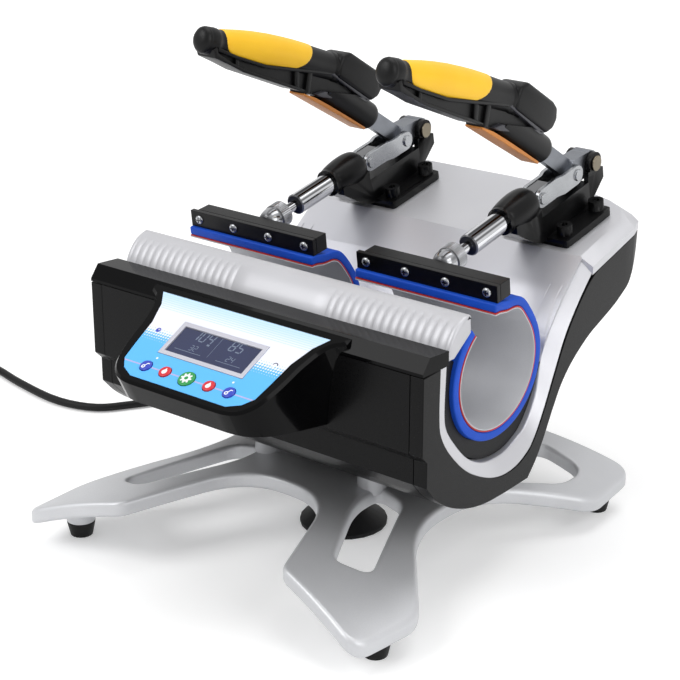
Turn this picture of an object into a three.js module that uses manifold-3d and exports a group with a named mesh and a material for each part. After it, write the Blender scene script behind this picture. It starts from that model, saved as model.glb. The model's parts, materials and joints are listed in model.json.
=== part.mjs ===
import * as THREE from "three";
import { mergeVertices } from "three/addons/utils/BufferGeometryUtils.js";
import { TessellateModifier } from "three/addons/modifiers/TessellateModifier.js";
import Module from "manifold-3d";

const wasm = await Module();
wasm.setup();

// Millimetres. X runs along the two stations, Y to the rear and Z up; heights count from the floor.

// Clearances shared by all pieces
const seatGap = 0.3;
const runGap = 0.4;
const overrun = 6;
const weldReach = 0.001;

// Overall layout
const stationSpacing = 163.3;
const stationX = stationSpacing / 2;
const deckTilt = THREE.MathUtils.degToRad(11.3);

// Heating mats: a C of three layers, open at the top
const mugReachY = 45;
const mugReachZ = 42;
const innerSheet = 1.5;
const linerSheet = 0.9;
const jacketSheet = 5.7;
const matHalfLength = 61.5;
const matFixedAngle = THREE.MathUtils.degToRad(128);
const matFreeAngle = THREE.MathUtils.degToRad(97);
const matRoom = 0.6;
const matSteps = 24;
const matHoleSteps = 12;
const matBuild = innerSheet + linerSheet + jacketSheet + seatGap + seatGap;
const matReachY = mugReachY + matBuild;
const matReachZ = mugReachZ + matBuild;

// Cast base
const legReachX = 163;
const legReachY = 176;
const legCentreY = 3;
const castingTop = 58.5;
const castingDrop = 31.5;
const castingArchPower = 2.4;
const castingThickness = 12.5;
const castingBevel = 3.5;
const castingFacet = 75;
const legCornerShares = [
  [0.245, 0.332, 0.22],
  [0.472, 0.875, 0.043],
  [0.969, 1, 0.098],
  [1, 0.636, 0.08],
  [0.635, 0.216, 0.209],
];
const frontSlotShares = [
  [0.35, 0.114, 0.05],
  [0.503, 0.136, 0.05],
  [0.73, 0.62, 0.06],
  [0.57, 0.67, 0.06],
  [0.356, 0.284, 0.12],
];
const rearSlotShares = [
  [0.35, 0.114, 0.05],
  [0.503, 0.136, 0.05],
  [0.84, 0.6, 0.07],
  [0.84, 0.77, 0.09],
  [0.6, 0.77, 0.06],
  [0.356, 0.284, 0.12],
];

// Feet and suction cup
const footShare = 0.8712;
const footFrontShare = 0.7557;
const footRearShare = 0.8523;
const footX = legReachX * footShare;
const footFrontY = legReachY * footFrontShare;
const footRearY = legReachY * footRearShare;
const footTopRadius = 11;
const footBottomRadius = 8.5;
const footHeight = 11.5;
const bossFlare = 1.5;
const cupRadius = 34;
const cupRim = 3;
const cupHeight = 16;
const cupNeckRadius = 12;
const cupStemRadius = 8;
const cupCentreY = 13;

// Body: the end profile follows the well round the mats
const wellMargin = 16.5;
const wellRadius = matReachY + wellMargin - seatGap - seatGap - innerSheet / 2;
const bodyLift = 6.5;
const bodyBellyShare = 1.426;
const matCentreY = 6.5;
const matCentreZ = castingTop + bodyLift + wellRadius * bodyBellyShare;
const sideHalfFront = 153.6;
const sideTaper = 0.069;
const sideCoverThickness = 11;
const plinthRadius = 11;
const plinthShare = 0.3067;
const plinthX = legReachX * plinthShare;
const plinthFrontY = -16;
const plinthRearY = 38;
const bodyShares = [
  [-1.493, 0.417],
  [-1.493, -0.397],
  [-1.407, -0.483],
  [-1.407, -0.754],
  [-1.207, -0.983],
  [-0.836, -1.211],
  [-0.379, -1.361],
  [0.079, -1.404],
  [0.621, -1.426],
  [0.85, -1.226],
  [1.107, -0.826],
  [1.35, -0.483],
  [1.821, -0.211],
  [2.479, -0.019],
  [2.807, 0.131],
  [2.979, 0.417],
  [3.02, 0.56],
];
const trimOuterShares = [
  [-1.179, 0.417],
  [-1.193, -0.154],
  [-1.136, -0.34],
  [-0.964, -0.569],
  [-0.679, -0.84],
  [-0.379, -1.026],
  [0.007, -1.183],
  [0.336, -1.197],
  [0.536, -1.147],
  [0.707, -1.054],
  [0.921, -0.769],
  [1.136, -0.397],
  [1.35, -0.04],
  [1.621, 0.26],
  [1.93, 0.53],
];
const trimInnerShares = [
  [-1.05, 0.417],
  [-1.064, -0.154],
  [-1.021, -0.283],
  [-0.864, -0.483],
  [-0.593, -0.74],
  [-0.307, -0.904],
  [0.007, -0.997],
  [0.293, -1.004],
  [0.479, -0.954],
  [0.664, -0.876],
  [0.893, -0.601],
  [1.05, -0.269],
  [1.221, 0.031],
  [1.479, 0.317],
  [1.9, 0.65],
];
const trimInsetShares = [
  0.086, 0.086, 0.086, 0.086, 0.086, 0.086, 0.086, 0.086, 0.086, 0.086, 0.1, 0.14, 0.18, 0.2, 0.18,
];
const slopeShares = [
  [0.907, -0.583],
  [1.164, -0.044],
  [1.479, 0.317],
  [1.9, 0.671],
];
const wellShares = [
  [0.664, -0.876],
  [0.479, -0.954],
  [0.293, -1.004],
  [0.007, -0.997],
  [-0.307, -0.904],
  [-0.593, -0.74],
  [-0.864, -0.483],
  [-1.021, -0.283],
  [-1.064, -0.154],
  [-1.05, 0.403],
];
const trimThickness = 10;
const trimStandProud = 0.5;
const endPlateThickness = 3;

// Rear shell: deck block with slanting side strips, and the slope behind the mats
const slopeThickness = 6;
const deckDepth = 12;
const deckLength = 96;
const deckInset = 16.2;
const deckStrip = 12.4;
const deckEdgeHalfWidth = sideHalfFront - deckInset;
const deckHalfWidth = deckEdgeHalfWidth - deckStrip;
const deckEdgeDrop = 6;
const deckTopShares = [
  [1, 0],
  [0.984, 0.42],
  [0.968, 0.66],
  [0.9, 0.82],
  [0.78, 0.92],
  [0.66, 0.965],
  [0, 0.985],
];
const deckEdgeShares = [
  [1, 0],
  [0.981, 0.42],
  [0.966, 0.7],
  [0.945, 0.81],
  [0.87, 0.89],
  [0.75, 0.96],
  [0, 1],
];

// Front cover over the fixed ends of the mats
const coverEndInset = 1;
const coverShares = [
  [-1.03, 0.43],
  [-1.03, 0.5],
  [-0.97, 0.63],
  [-0.86, 0.75],
  [-0.74, 0.81],
  [-0.66, 0.81],
  [-0.647, 0.614],
  [-0.52, 0.52],
  [-0.56, 0.43],
];
const coverFlatHalfWidth = 44;
const coverRibCount = 15;
const coverGroove = 3.2;
const coverRibDepth = 1.3;

// Console hood and panel
const panelTilt = THREE.MathUtils.degToRad(26.4);
const panelLength = 84.8;
const panelTopY = -96;
const panelHalfWidth = 90;
const hoodDepth = 62;
const hoodBevel = 2;
const hoodShares = [
  [1, -0.06, 0],
  [1, 0.02, 0.02],
  [0.894, 0.08, 0.05],
  [0.849, 0.184, 0.05],
  [0.809, 0.37, 0.05],
  [0.787, 0.606, 0.1],
  [0.748, 0.79, 0.08],
  [0.702, 0.89, 0.06],
  [0.62, 0.97, 0.06],
  [0.5, 1, 0.06],
];
const overlayShares = [
  [0.861, 0.02],
  [0.777, 0.15],
  [0.713, 0.36],
  [0.691, 0.6],
  [0.669, 0.78],
  [0.602, 0.87],
  [0.487, 0.93],
];
const overlayThickness = 1;
const overlayRecess = 1.4;
const ledgeHalf = 153.3;
const ledgeInset = 0.8;
const ledgeShares = [
  [-1.497, 0.46],
  [-1.386, 0.6],
  [-1.084, 0.579],
];
const hoodUnderShares = [
  [-1.497, -0.36],
  [-2.47, -0.243],
  [-2.7, 0.2],
  [-2.7, 0.9],
  [-1.3, 0.9],
];
const hoodJoinShare = -1.25;
const displayHalfWidth = 39;
const displayLength = 31.6;
const displayStart = 22;
const displayRim = 3.5;
const displayThickness = 2;
const glassThickness = 1.2;
const keyRow = 67.5;
const keyPitchInner = 20.2;
const keyPitchOuter = 38.3;
const keyRadius = 4.75;
const middleKeyRadius = 6.5;
const keyHeight = 2.2;
const keyTravel = 0.5;
const keyProud = 0.9;
const keyRound = 0.5;
const panelTopShare = 0.567;
const displayProud = 1.4;

// Toggle clamp, in its own frame: along the deck from the front of its plate, and up from the deck
const clampY = 142.7;
const plateLength = 64.4;
const plateHalfWidth = 29.7;
const plateThickness = 6;
const plateCorner = 4;
const axisHeight = 36;
const pivotAlong = 73.5;
const crankLength = 24;
const linkLength = 45;
const barrelFront = 42;
const barrelRadius = 12.5;
const barrelShares = [
  [0, 1],
  [0.88, 1],
  [0.88, 0.93],
  [0.94, 0.9],
  [1.06, 0.7],
  [1.12, 0.48],
  [1.1, 0.28],
  [1, 0.15],
  [0.8, 0.095],
  [0, 0.095],
];
const plungerRadius = 8.4;
const plungerFront = 83;
const plungerChamfer = 1;
const tubeRear = -9;
const studRadius = 4;
const studEnd = 109;
const nutFront = 119.1;
const nutRear = 97.4;
const nutShoulder = 108;
const nutRadius = 10;
const nutDomeRadius = 9.4;
const nutTipRadius = 6;
const nutTooth = 0.7;
const nutTeeth = 18;
const earThickness = 4;
const earRadius = 8.8;
const tangHalf = 4.7;
const tangHalfHeight = 7;
const tangRear = 17.5;
const linkPinRadius = 2;
const crankPinRadius = 3;
const pivotPinRadius = 4;
const slotHalfLength = 9.6;
const slotHalfHeight = 5.4;
const slotLift = 0.2;
const linkPlate = 3;
const linkHalfHeight = 7.7;
const linkStep = 2.4;
const linkStepStart = 20;
const linkStepEnd = 27;
const leverHub = 9.6;
const leverBarThickness = 6;
const leverBarHeight = 14;
const leverBarLength = 82;
const leverTilt = THREE.MathUtils.degToRad(42.7);
const leverFootAlong = 52;
const leverFootHeight = 36.5;
const leverPlateShares = [
  [0.35, -1, 0.5],
  [-1.2, -0.95, 0.4],
  [-1.34, 0.3, 0.3],
  [-0.95, 1.15, 0.2],
  [-0.1, 1, 0.4],
  [0.4, 0.3, 0.2],
  [0.4, -0.4, 0.2],
];
const pinHeadRadius = 4.6;
const pinHeadThickness = 1.6;
const screwRadius = 6.5;
const screwHead = 7.7;
const screwSocketRadius = 3;
const screwSocketDepth = 4;
const screwFrontAlong = 11.5;
const screwRearAlong = 57;
const screwSide = 20.5;
const saddleHalf = 12;
const saddleShares = [
  [-0.9, 0.72],
  [-0.3, 0.16],
  [0, 0.1],
  [1.48, 0.1],
  [1.48, 0.69],
  [-0.095, 0.69],
  [-0.095, 0.9],
  [-0.9, 0.9],
];
const earShares = [
  [1.1, 0.1],
  [1.5, 0.14],
  [2, 0.55],
  [2, 0.8],
  [1.5, 0.9],
  [1.46, 0.62],
];

// Handle, in the upright frame of the press: a grip tube, a keel under it, a rear block and a leg
const handleLength = 205.5;
const handleRise = 112;
const handleBack = 31.5399;
const handleLift = 14.2639;
const gripSides = 10;
const gripTilt = THREE.MathUtils.degToRad(16.5);
const gripWall = 2.6;
const gripProud = 0.8;
const keelHalf = 6;
const flangeHalf = 9;
const ribHalf = 8;
const blockHalf = 11.5;
const blockBevel = 1.5;
const legRadius = 11.5;
const legMouth = 49;
const legReach = 118;
const legRound = 2;
const stripHalf = 8;
// Along the grip: place in Y and Z and radius
const gripStationShares = [
  [0, 0.911, 0.024],
  [0.01, 0.907, 0.044],
  [0.032, 0.902, 0.058],
  [0.066, 0.898, 0.063],
  [0.114, 0.875, 0.055],
  [0.139, 0.863, 0.055],
  [0.285, 0.8, 0.059],
  [0.426, 0.739, 0.06],
  [0.552, 0.671, 0.058],
  [0.655, 0.606, 0.056],
  [0.732, 0.552, 0.055],
  [0.791, 0.511, 0.055],
  [0.8, 0.507, 0.061],
  [0.849, 0.479, 0.062],
];
const insertShares = [
  [0.041, 0.911],
  [0.054, 0.862],
  [0.095, 0.808],
  [0.158, 0.763],
  [0.304, 0.686],
  [0.436, 0.629],
  [0.523, 0.619],
  [0.557, 0.652],
  [0.606, 0.732],
  [0.655, 0.83],
  [0.538, 0.92],
  [0.246, 1.045],
  [0.129, 1.045],
  [0.071, 0.991],
];
const keelShares = [
  [0.032, 0.848],
  [0.041, 0.804],
  [0.119, 0.719],
  [0.187, 0.661],
  [0.343, 0.556],
  [0.489, 0.454],
  [0.635, 0.357],
  [0.82, 0.152],
  [0.869, 0.116],
  [0.927, 0.25],
  [0.82, 0.527],
  [0.684, 0.616],
  [0.392, 0.75],
  [0.1, 0.884],
];
const flangeShares = [
  [0.022, 0.857],
  [0.041, 0.799],
  [0.119, 0.713],
  [0.187, 0.655],
  [0.343, 0.55],
  [0.489, 0.448],
  [0.547, 0.411],
  [0.547, 0.442],
  [0.494, 0.479],
  [0.348, 0.582],
  [0.192, 0.688],
  [0.124, 0.745],
  [0.056, 0.82],
  [0.046, 0.875],
];
const ribShares = [
  [
    [0.148, 0.67],
    [0.165, 0.67],
    [0.168, 0.752],
    [0.153, 0.755],
  ],
  [
    [0.46, 0.455],
    [0.538, 0.411],
    [0.545, 0.614],
    [0.467, 0.62],
  ],
];
const blockShares = [
  [0.732, 0.554, 0.01],
  [0.752, 0.634, 0.01],
  [0.815, 0.604, 0.01],
  [0.976, 0.438, 0.015],
  [1.005, 0.375, 0.012],
  [0.998, 0.295, 0.012],
  [0.956, 0.232, 0.01],
  [0.912, 0.241, 0.007],
  [0.703, 0.482, 0.007],
];
const bandShares = [
  [
    [0.888, 0.263],
    [0.912, 0.295],
    [0.684, 0.536],
    [0.655, 0.536],
  ],
  [
    [0.538, 0.424],
    [0.596, 0.384],
    [0.903, 0.25],
    [0.912, 0.286],
    [0.616, 0.42],
  ],
];
const legShares = [
  [0.46, 0.473],
  [0.839, 0.071],
  [0.878, 0.009],
  [1.024, 0.009],
  [1.024, 0.188],
  [0.932, 0.286],
  [0.878, 0.286],
  [0.635, 0.402],
];
const stripShares = [
  [0.474, 0.45],
  [0.861, 0.061],
  [0.869, 0.091],
  [0.494, 0.468],
];

// Pressure bar
const barHalf = 61.2;
const barDepth = 12;
const stripDepth = 3.7;
const barHeight = 12.9;
const barSetback = 4.5;
const barTilt = THREE.MathUtils.degToRad(6.9);
const barCentreY = 10.2;
const barCentreZ = 221;
const barScrewPitch = 35;
const barScrewCount = 4;
const barScrewRadius = 3.4;
const barScrewHead = 1.6;

// Rear fittings, on the sloped lower back of the housing
const backSegment = 10;
const switchX = 60;
const switchHalfWidth = 10.5;
const switchHalfHeight = 7.5;
const switchRim = 1.8;
const switchBody = 12;
const switchBodyInset = 1.6;
const rockerHalfWidth = 6.6;
const rockerHalfHeight = 4.2;
const rockerDepth = 2;
const rockerProud = 2.6;
const rockerCrown = 1.4;
const rockerWell = 6;
const rockerSwing = THREE.MathUtils.degToRad(8);
const fuseX = 22;
const fuseRadius = 7.5;
const fuseFlange = 3;
const fuseCapRadius = 5.6;
const fuseLength = 10;
const glandX = -20;
const glandRadius = 7;
const glandNeckRadius = 5;
const glandFlange = 4;
const glandLength = 14;

// Power cord
const cordRadius = 3.5;
const cordSides = 6;
const cordSteps = 36;
const cordPoints = [
  [-20, 104.4, 110.6],
  [-20, 110.1, 106.6],
  [-20.5, 124, 93],
  [-23, 144, 57],
  [-31, 166, 20],
  [-50, 188, 5.6],
  [-92, 206, 4.2],
  [-150, 206, 4],
  [-212, 169, 4],
  [-256, 112, 4],
  [-284, 66, 4],
  [-303, 42, 4],
  [-339, 31, 4],
  [-401, 38, 4],
  [-441, 47, 4],
  [-475, 50, 4],
  [-499.5, 50, 4],
];
const cordEndX = -500;
const cordEndY = 50;
const coilTurns = 1.75;
const coilClimbTurns = 0.5;
const coilOuter = 48;
const coilPitch = 8.9;
const coilLayer = 7.6;
const coilSteps = 18;
const coilSides = 6;
const plugLength = 36;
const plugWidth = 26;
const plugHeight = 24;
const plugLead = 42;
const plugTaper = 8;
const plugNoseHalf = 6;
const plugShoulder = 4;
const plugCorner = 3;
const plugEdge = 2;
const prongLength = 16;
const prongWidth = 6.3;
const prongThickness = 1.6;
const prongSpacing = 12.7;
const groundRadius = 2.4;
const groundLift = 4;

const finish = {
  casting: { color: 0xc9cbce, roughness: 0.32, metalness: 0.9 },
  rubber: { color: 0x17181a, roughness: 0.85, metalness: 0 },
  blackShell: { color: 0x232427, roughness: 0.45, metalness: 0.1 },
  glossBlack: { color: 0x1b1c20, roughness: 0.2, metalness: 0.1 },
  silver: { color: 0xcdcfd3, roughness: 0.4, metalness: 0.7 },
  darkPlate: { color: 0x3a3b3e, roughness: 0.5, metalness: 0.3 },
  blueSilicone: { color: 0x1d50c8, roughness: 0.55, metalness: 0 },
  redLiner: { color: 0xc8402f, roughness: 0.6, metalness: 0 },
  greySilicone: { color: 0xb9b9b7, roughness: 0.65, metalness: 0 },
  blackSteel: { color: 0x1a1a1c, roughness: 0.4, metalness: 0.5 },
  chrome: { color: 0xd9dadd, roughness: 0.12, metalness: 1 },
  zinc: { color: 0xb9bcc1, roughness: 0.35, metalness: 0.9 },
  blackPlastic: { color: 0x1c1c1e, roughness: 0.5, metalness: 0 },
  yellow: { color: 0xf6bf2e, roughness: 0.5, metalness: 0 },
  orange: { color: 0xe0762a, roughness: 0.5, metalness: 0 },
  overlay: { color: 0xa9cfe8, roughness: 0.4, metalness: 0 },
  frameGrey: { color: 0xb4b8bd, roughness: 0.4, metalness: 0.2 },
  glass: { color: 0x4b5a6b, roughness: 0.15, metalness: 0 },
  keyGreen: { color: 0x3aa655, roughness: 0.4, metalness: 0 },
  keyRed: { color: 0xd2382e, roughness: 0.4, metalness: 0 },
  keyBlue: { color: 0x2b62b8, roughness: 0.4, metalness: 0 },
};

// A geometry as a solid that can be joined and cut.
function toSolid(geometry) {
  const bare = geometry.clone();
  bare.deleteAttribute("normal");
  bare.deleteAttribute("uv");
  const merged = mergeVertices(bare, weldReach);
  const vertProperties = new Float32Array(merged.attributes.position.array);
  const triVerts = new Uint32Array(merged.index.array);
  return new wasm.Manifold(new wasm.Mesh({ numProp: 3, vertProperties, triVerts }));
}

// A solid as a geometry.
function toGeometry(solid) {
  const mesh = solid.getMesh();
  const itemSize = mesh.numProp;
  const geometry = new THREE.BufferGeometry();
  const position = new THREE.BufferAttribute(new Float32Array(mesh.vertProperties), itemSize);
  geometry.setAttribute("position", position);
  geometry.setIndex(new THREE.BufferAttribute(new Uint32Array(mesh.triVerts), 1));
  const flat = geometry.toNonIndexed();
  flat.computeVertexNormals();
  return flat;
}

function joined(...geometries) {
  const solids = geometries.map(toSolid);
  return toGeometry(solids.reduce((sum, each) => sum.add(each)));
}

function cut(geometry, ...tools) {
  const start = toSolid(geometry);
  return toGeometry(tools.reduce((rest, tool) => rest.subtract(toSolid(tool)), start));
}

function common(geometry, other) {
  return toGeometry(toSolid(geometry).intersect(toSolid(other)));
}

// Moves every vertex of a geometry by a function of its place.
function reshaped(geometry, move) {
  const position = geometry.attributes.position;
  const point = new THREE.Vector3();
  for (let i = 0; i < position.count; i++) {
    point.fromBufferAttribute(position, i);
    move(point);
    position.setXYZ(i, point.x, point.y, point.z);
  }
  return geometry;
}

// The axes (u, v, w) of a flat profile turned so that u runs along Y, v along Z and w along X.
const upright = new THREE.Matrix4().makeBasis(
  new THREE.Vector3(0, 1, 0),
  new THREE.Vector3(0, 0, 1),
  new THREE.Vector3(1, 0, 0),
);

function toward(from, to, reach) {
  const length = Math.hypot(to[0] - from[0], to[1] - from[1]);
  const part = Math.min(reach / length, 0.5);
  return [from[0] + (to[0] - from[0]) * part, from[1] + (to[1] - from[1]) * part];
}

// A closed outline with each corner rounded over its own reach, where it has one.
function roundedOutline(corners, outline = new THREE.Shape()) {
  corners.forEach((corner, i) => {
    const before = corners[(i + corners.length - 1) % corners.length];
    const after = corners[(i + 1) % corners.length];
    const start = corner[2] ? toward(corner, before, corner[2]) : corner;
    if (i === 0) outline.moveTo(start[0], start[1]);
    else outline.lineTo(start[0], start[1]);
    if (corner[2]) {
      const end = toward(corner, after, corner[2]);
      outline.quadraticCurveTo(corner[0], corner[1], end[0], end[1]);
    }
  });
  outline.closePath();
  return outline;
}

function extruded(outline, depth, bevel = 0, curveSegments = 4) {
  const geometry = new THREE.ExtrudeGeometry(outline, {
    depth: depth - bevel - bevel,
    bevelEnabled: bevel > 0,
    bevelThickness: bevel,
    bevelSize: bevel,
    bevelOffset: -bevel,
    bevelSegments: 1,
    curveSegments,
  });
  return geometry.translate(0, 0, bevel);
}

// A (Y, Z) outline made solid from one X to another.
function acrossX(outline, fromX, toX, bevel = 0, curveSegments = 4) {
  return extruded(outline, toX - fromX, bevel, curveSegments)
    .translate(0, 0, fromX)
    .applyMatrix4(upright);
}

function cylinderAlongX(radius, fromX, toX, sides = 20) {
  const geometry = new THREE.CylinderGeometry(radius, radius, toX - fromX, sides);
  return geometry.rotateZ(-Math.PI / 2).translate((fromX + toX) / 2, 0, 0);
}

// A turned solid whose profile lists (radius, distance along Y).
function turnedAlongY(profile, sides = 18) {
  const points = profile.map(([radius, along]) => new THREE.Vector2(radius, along));
  return new THREE.LatheGeometry(points, sides);
}

function turnedAlongZ(profile, sides = 18) {
  return turnedAlongY(profile, sides).rotateX(Math.PI / 2);
}

function boxBetween(low, high) {
  const size = high.map((value, i) => value - low[i]);
  const middle = high.map((value, i) => (value + low[i]) / 2);
  return new THREE.BoxGeometry(...size).translate(...middle);
}

// The sides of a solid through closed loops of as many points each, and a way to cap its ends.
function lofted(loops) {
  const count = loops[0].length;
  const positions = [];
  const push = (...points) => points.forEach((point) => positions.push(...point));
  loops.slice(1).forEach((loop, k) => {
    const below = loops[k];
    for (let i = 0; i < count; i++) {
      const j = (i + 1) % count;
      push(below[i], below[j], loop[j]);
      push(below[i], loop[j], loop[i]);
    }
  });
  const cap = (loop, flip) => {
    for (let i = 1; i + 1 < count; i++) {
      if (flip) push(loop[0], loop[i + 1], loop[i]);
      else push(loop[0], loop[i], loop[i + 1]);
    }
  };
  return { positions, cap };
}

function fromPositions(positions) {
  const geometry = new THREE.BufferGeometry();
  geometry.setAttribute("position", new THREE.Float32BufferAttribute(positions, 3));
  return mergeVertices(geometry, weldReach);
}

// Points of the body's end profile, from shares of the well's radius round the centre of the mats.
function bodyPoint([shareY, shareZ]) {
  return [matCentreY + shareY * wellRadius, matCentreZ + shareZ * wellRadius];
}

function sideHalfAt(y) {
  return sideHalfFront - sideTaper * (y - bodyPoint(bodyShares[0])[0]);
}

// The body narrows to the rear: X shrinks with Y as the sides do.
function tapered(geometry) {
  const frontHalf = sideHalfFront;
  return reshaped(geometry, (point) => {
    point.x *= sideHalfAt(point.y) / frontHalf;
  });
}

// Shifts an open (Y, Z) path sideways, mitred at its bends.
function offsetPath(path, distance) {
  return path.map((point, i) => {
    const before = path[Math.max(i - 1, 0)];
    const after = path[Math.min(i + 1, path.length - 1)];
    const inDirection = i > 0 ? unit(before, point) : unit(point, after);
    const outDirection = i < path.length - 1 ? unit(point, after) : inDirection;
    const sum = [inDirection[0] + outDirection[0], inDirection[1] + outDirection[1]];
    const scale = 2 / (sum[0] * sum[0] + sum[1] * sum[1]);
    return [point[0] + sum[1] * scale * distance, point[1] - sum[0] * scale * distance];
  });
}

function unit(from, to) {
  const length = Math.hypot(to[0] - from[0], to[1] - from[1]);
  return [(to[0] - from[0]) / length, (to[1] - from[1]) / length];
}

const press = new THREE.Group();

function piece(name, geometry, look, parent = press) {
  const mesh = new THREE.Mesh(geometry, new THREE.MeshStandardMaterial(finish[look]));
  mesh.name = name;
  parent.add(mesh);
  return mesh;
}

// Base casting
function castingTopAt(x) {
  return castingTop - castingDrop * Math.pow(Math.abs(x) / legReachX, castingArchPower);
}

function legPoint([shareX, shareY, reach], sideX, sideY) {
  return [sideX * shareX * legReachX, legCentreY + sideY * shareY * legReachY, reach * legReachX];
}

function makeCasting() {
  const corners = [];
  const quarter = (sideX, sideY, shares) => shares.map((share) => legPoint(share, sideX, sideY));
  corners.push(...quarter(1, -1, legCornerShares));
  corners.push(...quarter(1, 1, legCornerShares).reverse());
  corners.push(...quarter(-1, 1, legCornerShares));
  corners.push(...quarter(-1, -1, legCornerShares).reverse());
  const outline = roundedOutline(corners);
  for (const sideX of [1, -1]) {
    outline.holes.push(roundedOutline(quarter(sideX, -1, frontSlotShares), new THREE.Path()));
    outline.holes.push(roundedOutline(quarter(sideX, 1, rearSlotShares), new THREE.Path()));
  }
  const flat = extruded(outline, castingThickness, castingBevel, 2);
  flat.deleteAttribute("normal");
  flat.deleteAttribute("uv");
  const fine = new TessellateModifier(castingFacet, 8).modify(flat);
  const arched = reshaped(fine, (point) => {
    point.z += castingTopAt(point.x) - castingThickness;
  });
  const extras = [];
  for (const sideX of [1, -1]) {
    for (const footY of [legCentreY - footFrontY, legCentreY + footRearY]) {
      const bossTop = castingTopAt(footX) - castingThickness / 2;
      const boss = turnedAlongZ([
        [0, footHeight + seatGap],
        [footTopRadius, footHeight + seatGap],
        [footTopRadius + bossFlare, bossTop],
        [0, bossTop],
      ]);
      extras.push(boss.translate(sideX * footX, footY, 0));
    }
    for (const postY of [plinthFrontY, plinthRearY]) {
      const post = turnedAlongZ([
        [0, castingTop - castingThickness / 2],
        [plinthRadius, castingTop - castingThickness / 2],
        [plinthRadius, matCentreZ - wellRadius],
        [0, matCentreZ - wellRadius],
      ]);
      const underBody = bodyPrism(sideHalfFront).translate(0, 0, -seatGap);
      extras.push(cut(post.translate(sideX * plinthX, postY, 0), underBody));
    }
  }
  piece("base_casting", joined(arched, ...extras), "casting");
}

function makeFeet() {
  for (const [side, sideX] of [["left", -1], ["right", 1]]) {
    for (const [end, footY] of [["front", -footFrontY], ["rear", footRearY]]) {
      const foot = turnedAlongZ([
        [0, 0],
        [footBottomRadius, 0],
        [footTopRadius, footHeight],
        [0, footHeight],
      ]);
      foot.translate(sideX * footX, legCentreY + footY, 0);
      piece("foot_" + end + "_" + side, foot, "rubber");
    }
  }
  const stemTop = castingTop - castingThickness - seatGap;
  const cup = turnedAlongZ([
    [0, cupRim],
    [cupRadius - cupRim, 0],
    [cupRadius, 0],
    [cupRadius, cupRim],
    [cupNeckRadius, cupHeight],
    [cupStemRadius, cupHeight + cupRim],
    [cupStemRadius, stemTop],
    [0, stemTop],
  ], 22);
  piece("suction_cup", cup.translate(0, cupCentreY, 0), "rubber");
}

// Body
function bodyPrism(half) {
  const profile = bodyShares.map(bodyPoint);
  return acrossX(roundedOutline(profile), -half, half);
}

function deckZ(y) {
  const fold = bodyPoint(slopeShares[slopeShares.length - 1]);
  return fold[1] + (y - fold[0]) * Math.tan(deckTilt);
}

function foldY() {
  return bodyPoint(slopeShares[slopeShares.length - 1])[0];
}

function deckLoop(shares, half, drop) {
  const side = shares.map(([shareX, shareY]) => {
    const y = foldY() + shareY * deckLength;
    return [shareX * half, y, deckZ(y) - drop];
  });
  const mirrored = side.slice(0, -1).reverse().map(([x, y, z]) => [-x, y, z]);
  return [...side, ...mirrored];
}

function makeRearShell() {
  const loops = [
    deckLoop(deckEdgeShares, deckEdgeHalfWidth, deckDepth),
    deckLoop(deckEdgeShares, deckEdgeHalfWidth, deckEdgeDrop),
    deckLoop(deckTopShares, deckHalfWidth, 0),
  ];
  const { positions, cap } = lofted(loops);
  cap(loops[0], true);
  cap(loops[loops.length - 1], false);
  const deck = fromPositions(positions);
  const path = slopeShares.map(bodyPoint);
  const behind = offsetPath(path, slopeThickness);
  const slopeHalf = sideHalfFront - sideCoverThickness - seatGap;
  const slope = tapered(acrossX(roundedOutline([...path, ...behind.reverse()]), -slopeHalf, slopeHalf));
  const trims = [1, -1].flatMap((sideX) => [trimSolid(sideX, seatGap), trimSolid(sideX, 0)]);
  const shell = cut(joined(deck, slope), ...trims);
  piece("rear_shell", shell, "silver");
}

function makeHousing() {
  const half = sideHalfFront - sideCoverThickness - seatGap;
  const path = slopeShares.map(bodyPoint);
  const under = offsetPath(path, slopeThickness + seatGap);
  const outer = bodyShares.map(bodyPoint);
  const rearTop = outer[outer.length - 1];
  const belowDeck = deckDepth + seatGap;
  const foldUnder = under[under.length - 1];
  const slopeFoot = path[0];
  const corner = [foldUnder[0], deckZ(foldUnder[0]) - belowDeck];
  const well = wellShares.map(bodyPoint);
  const profile = [
    ...outer.slice(0, -1),
    [rearTop[0], deckZ(rearTop[0]) - belowDeck],
    corner,
    ...under.slice(0, -1).reverse(),
    toward(slopeFoot, well[0], seatGap),
    ...well,
  ];
  const prism = common(tapered(acrossX(roundedOutline(profile), -half, half)), planPrism());
  const trims = [trimSolid(1, seatGap), trimSolid(-1, seatGap)];
  piece("lower_housing", cut(prism, ...trims, switchPocket()), "blackShell");
}

// The plan of the body, narrowing to the rear with cut corners.
function planPrism() {
  const right = deckEdgeShares.map(([shareX, shareY]) => [
    shareX * deckEdgeHalfWidth,
    foldY() + shareY * deckLength,
  ]);
  const left = right.slice(0, -1).reverse().map(([x, y]) => [-x, y]);
  const frontY = bodyPoint(bodyShares[0])[0];
  const plan = [[sideHalfFront, frontY - overrun], [sideHalfFront, frontY], ...right];
  plan.push(...left, [-sideHalfFront, frontY], [-sideHalfFront, frontY - overrun]);
  return extruded(roundedOutline(plan), matCentreZ + wellRadius + wellRadius);
}

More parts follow.
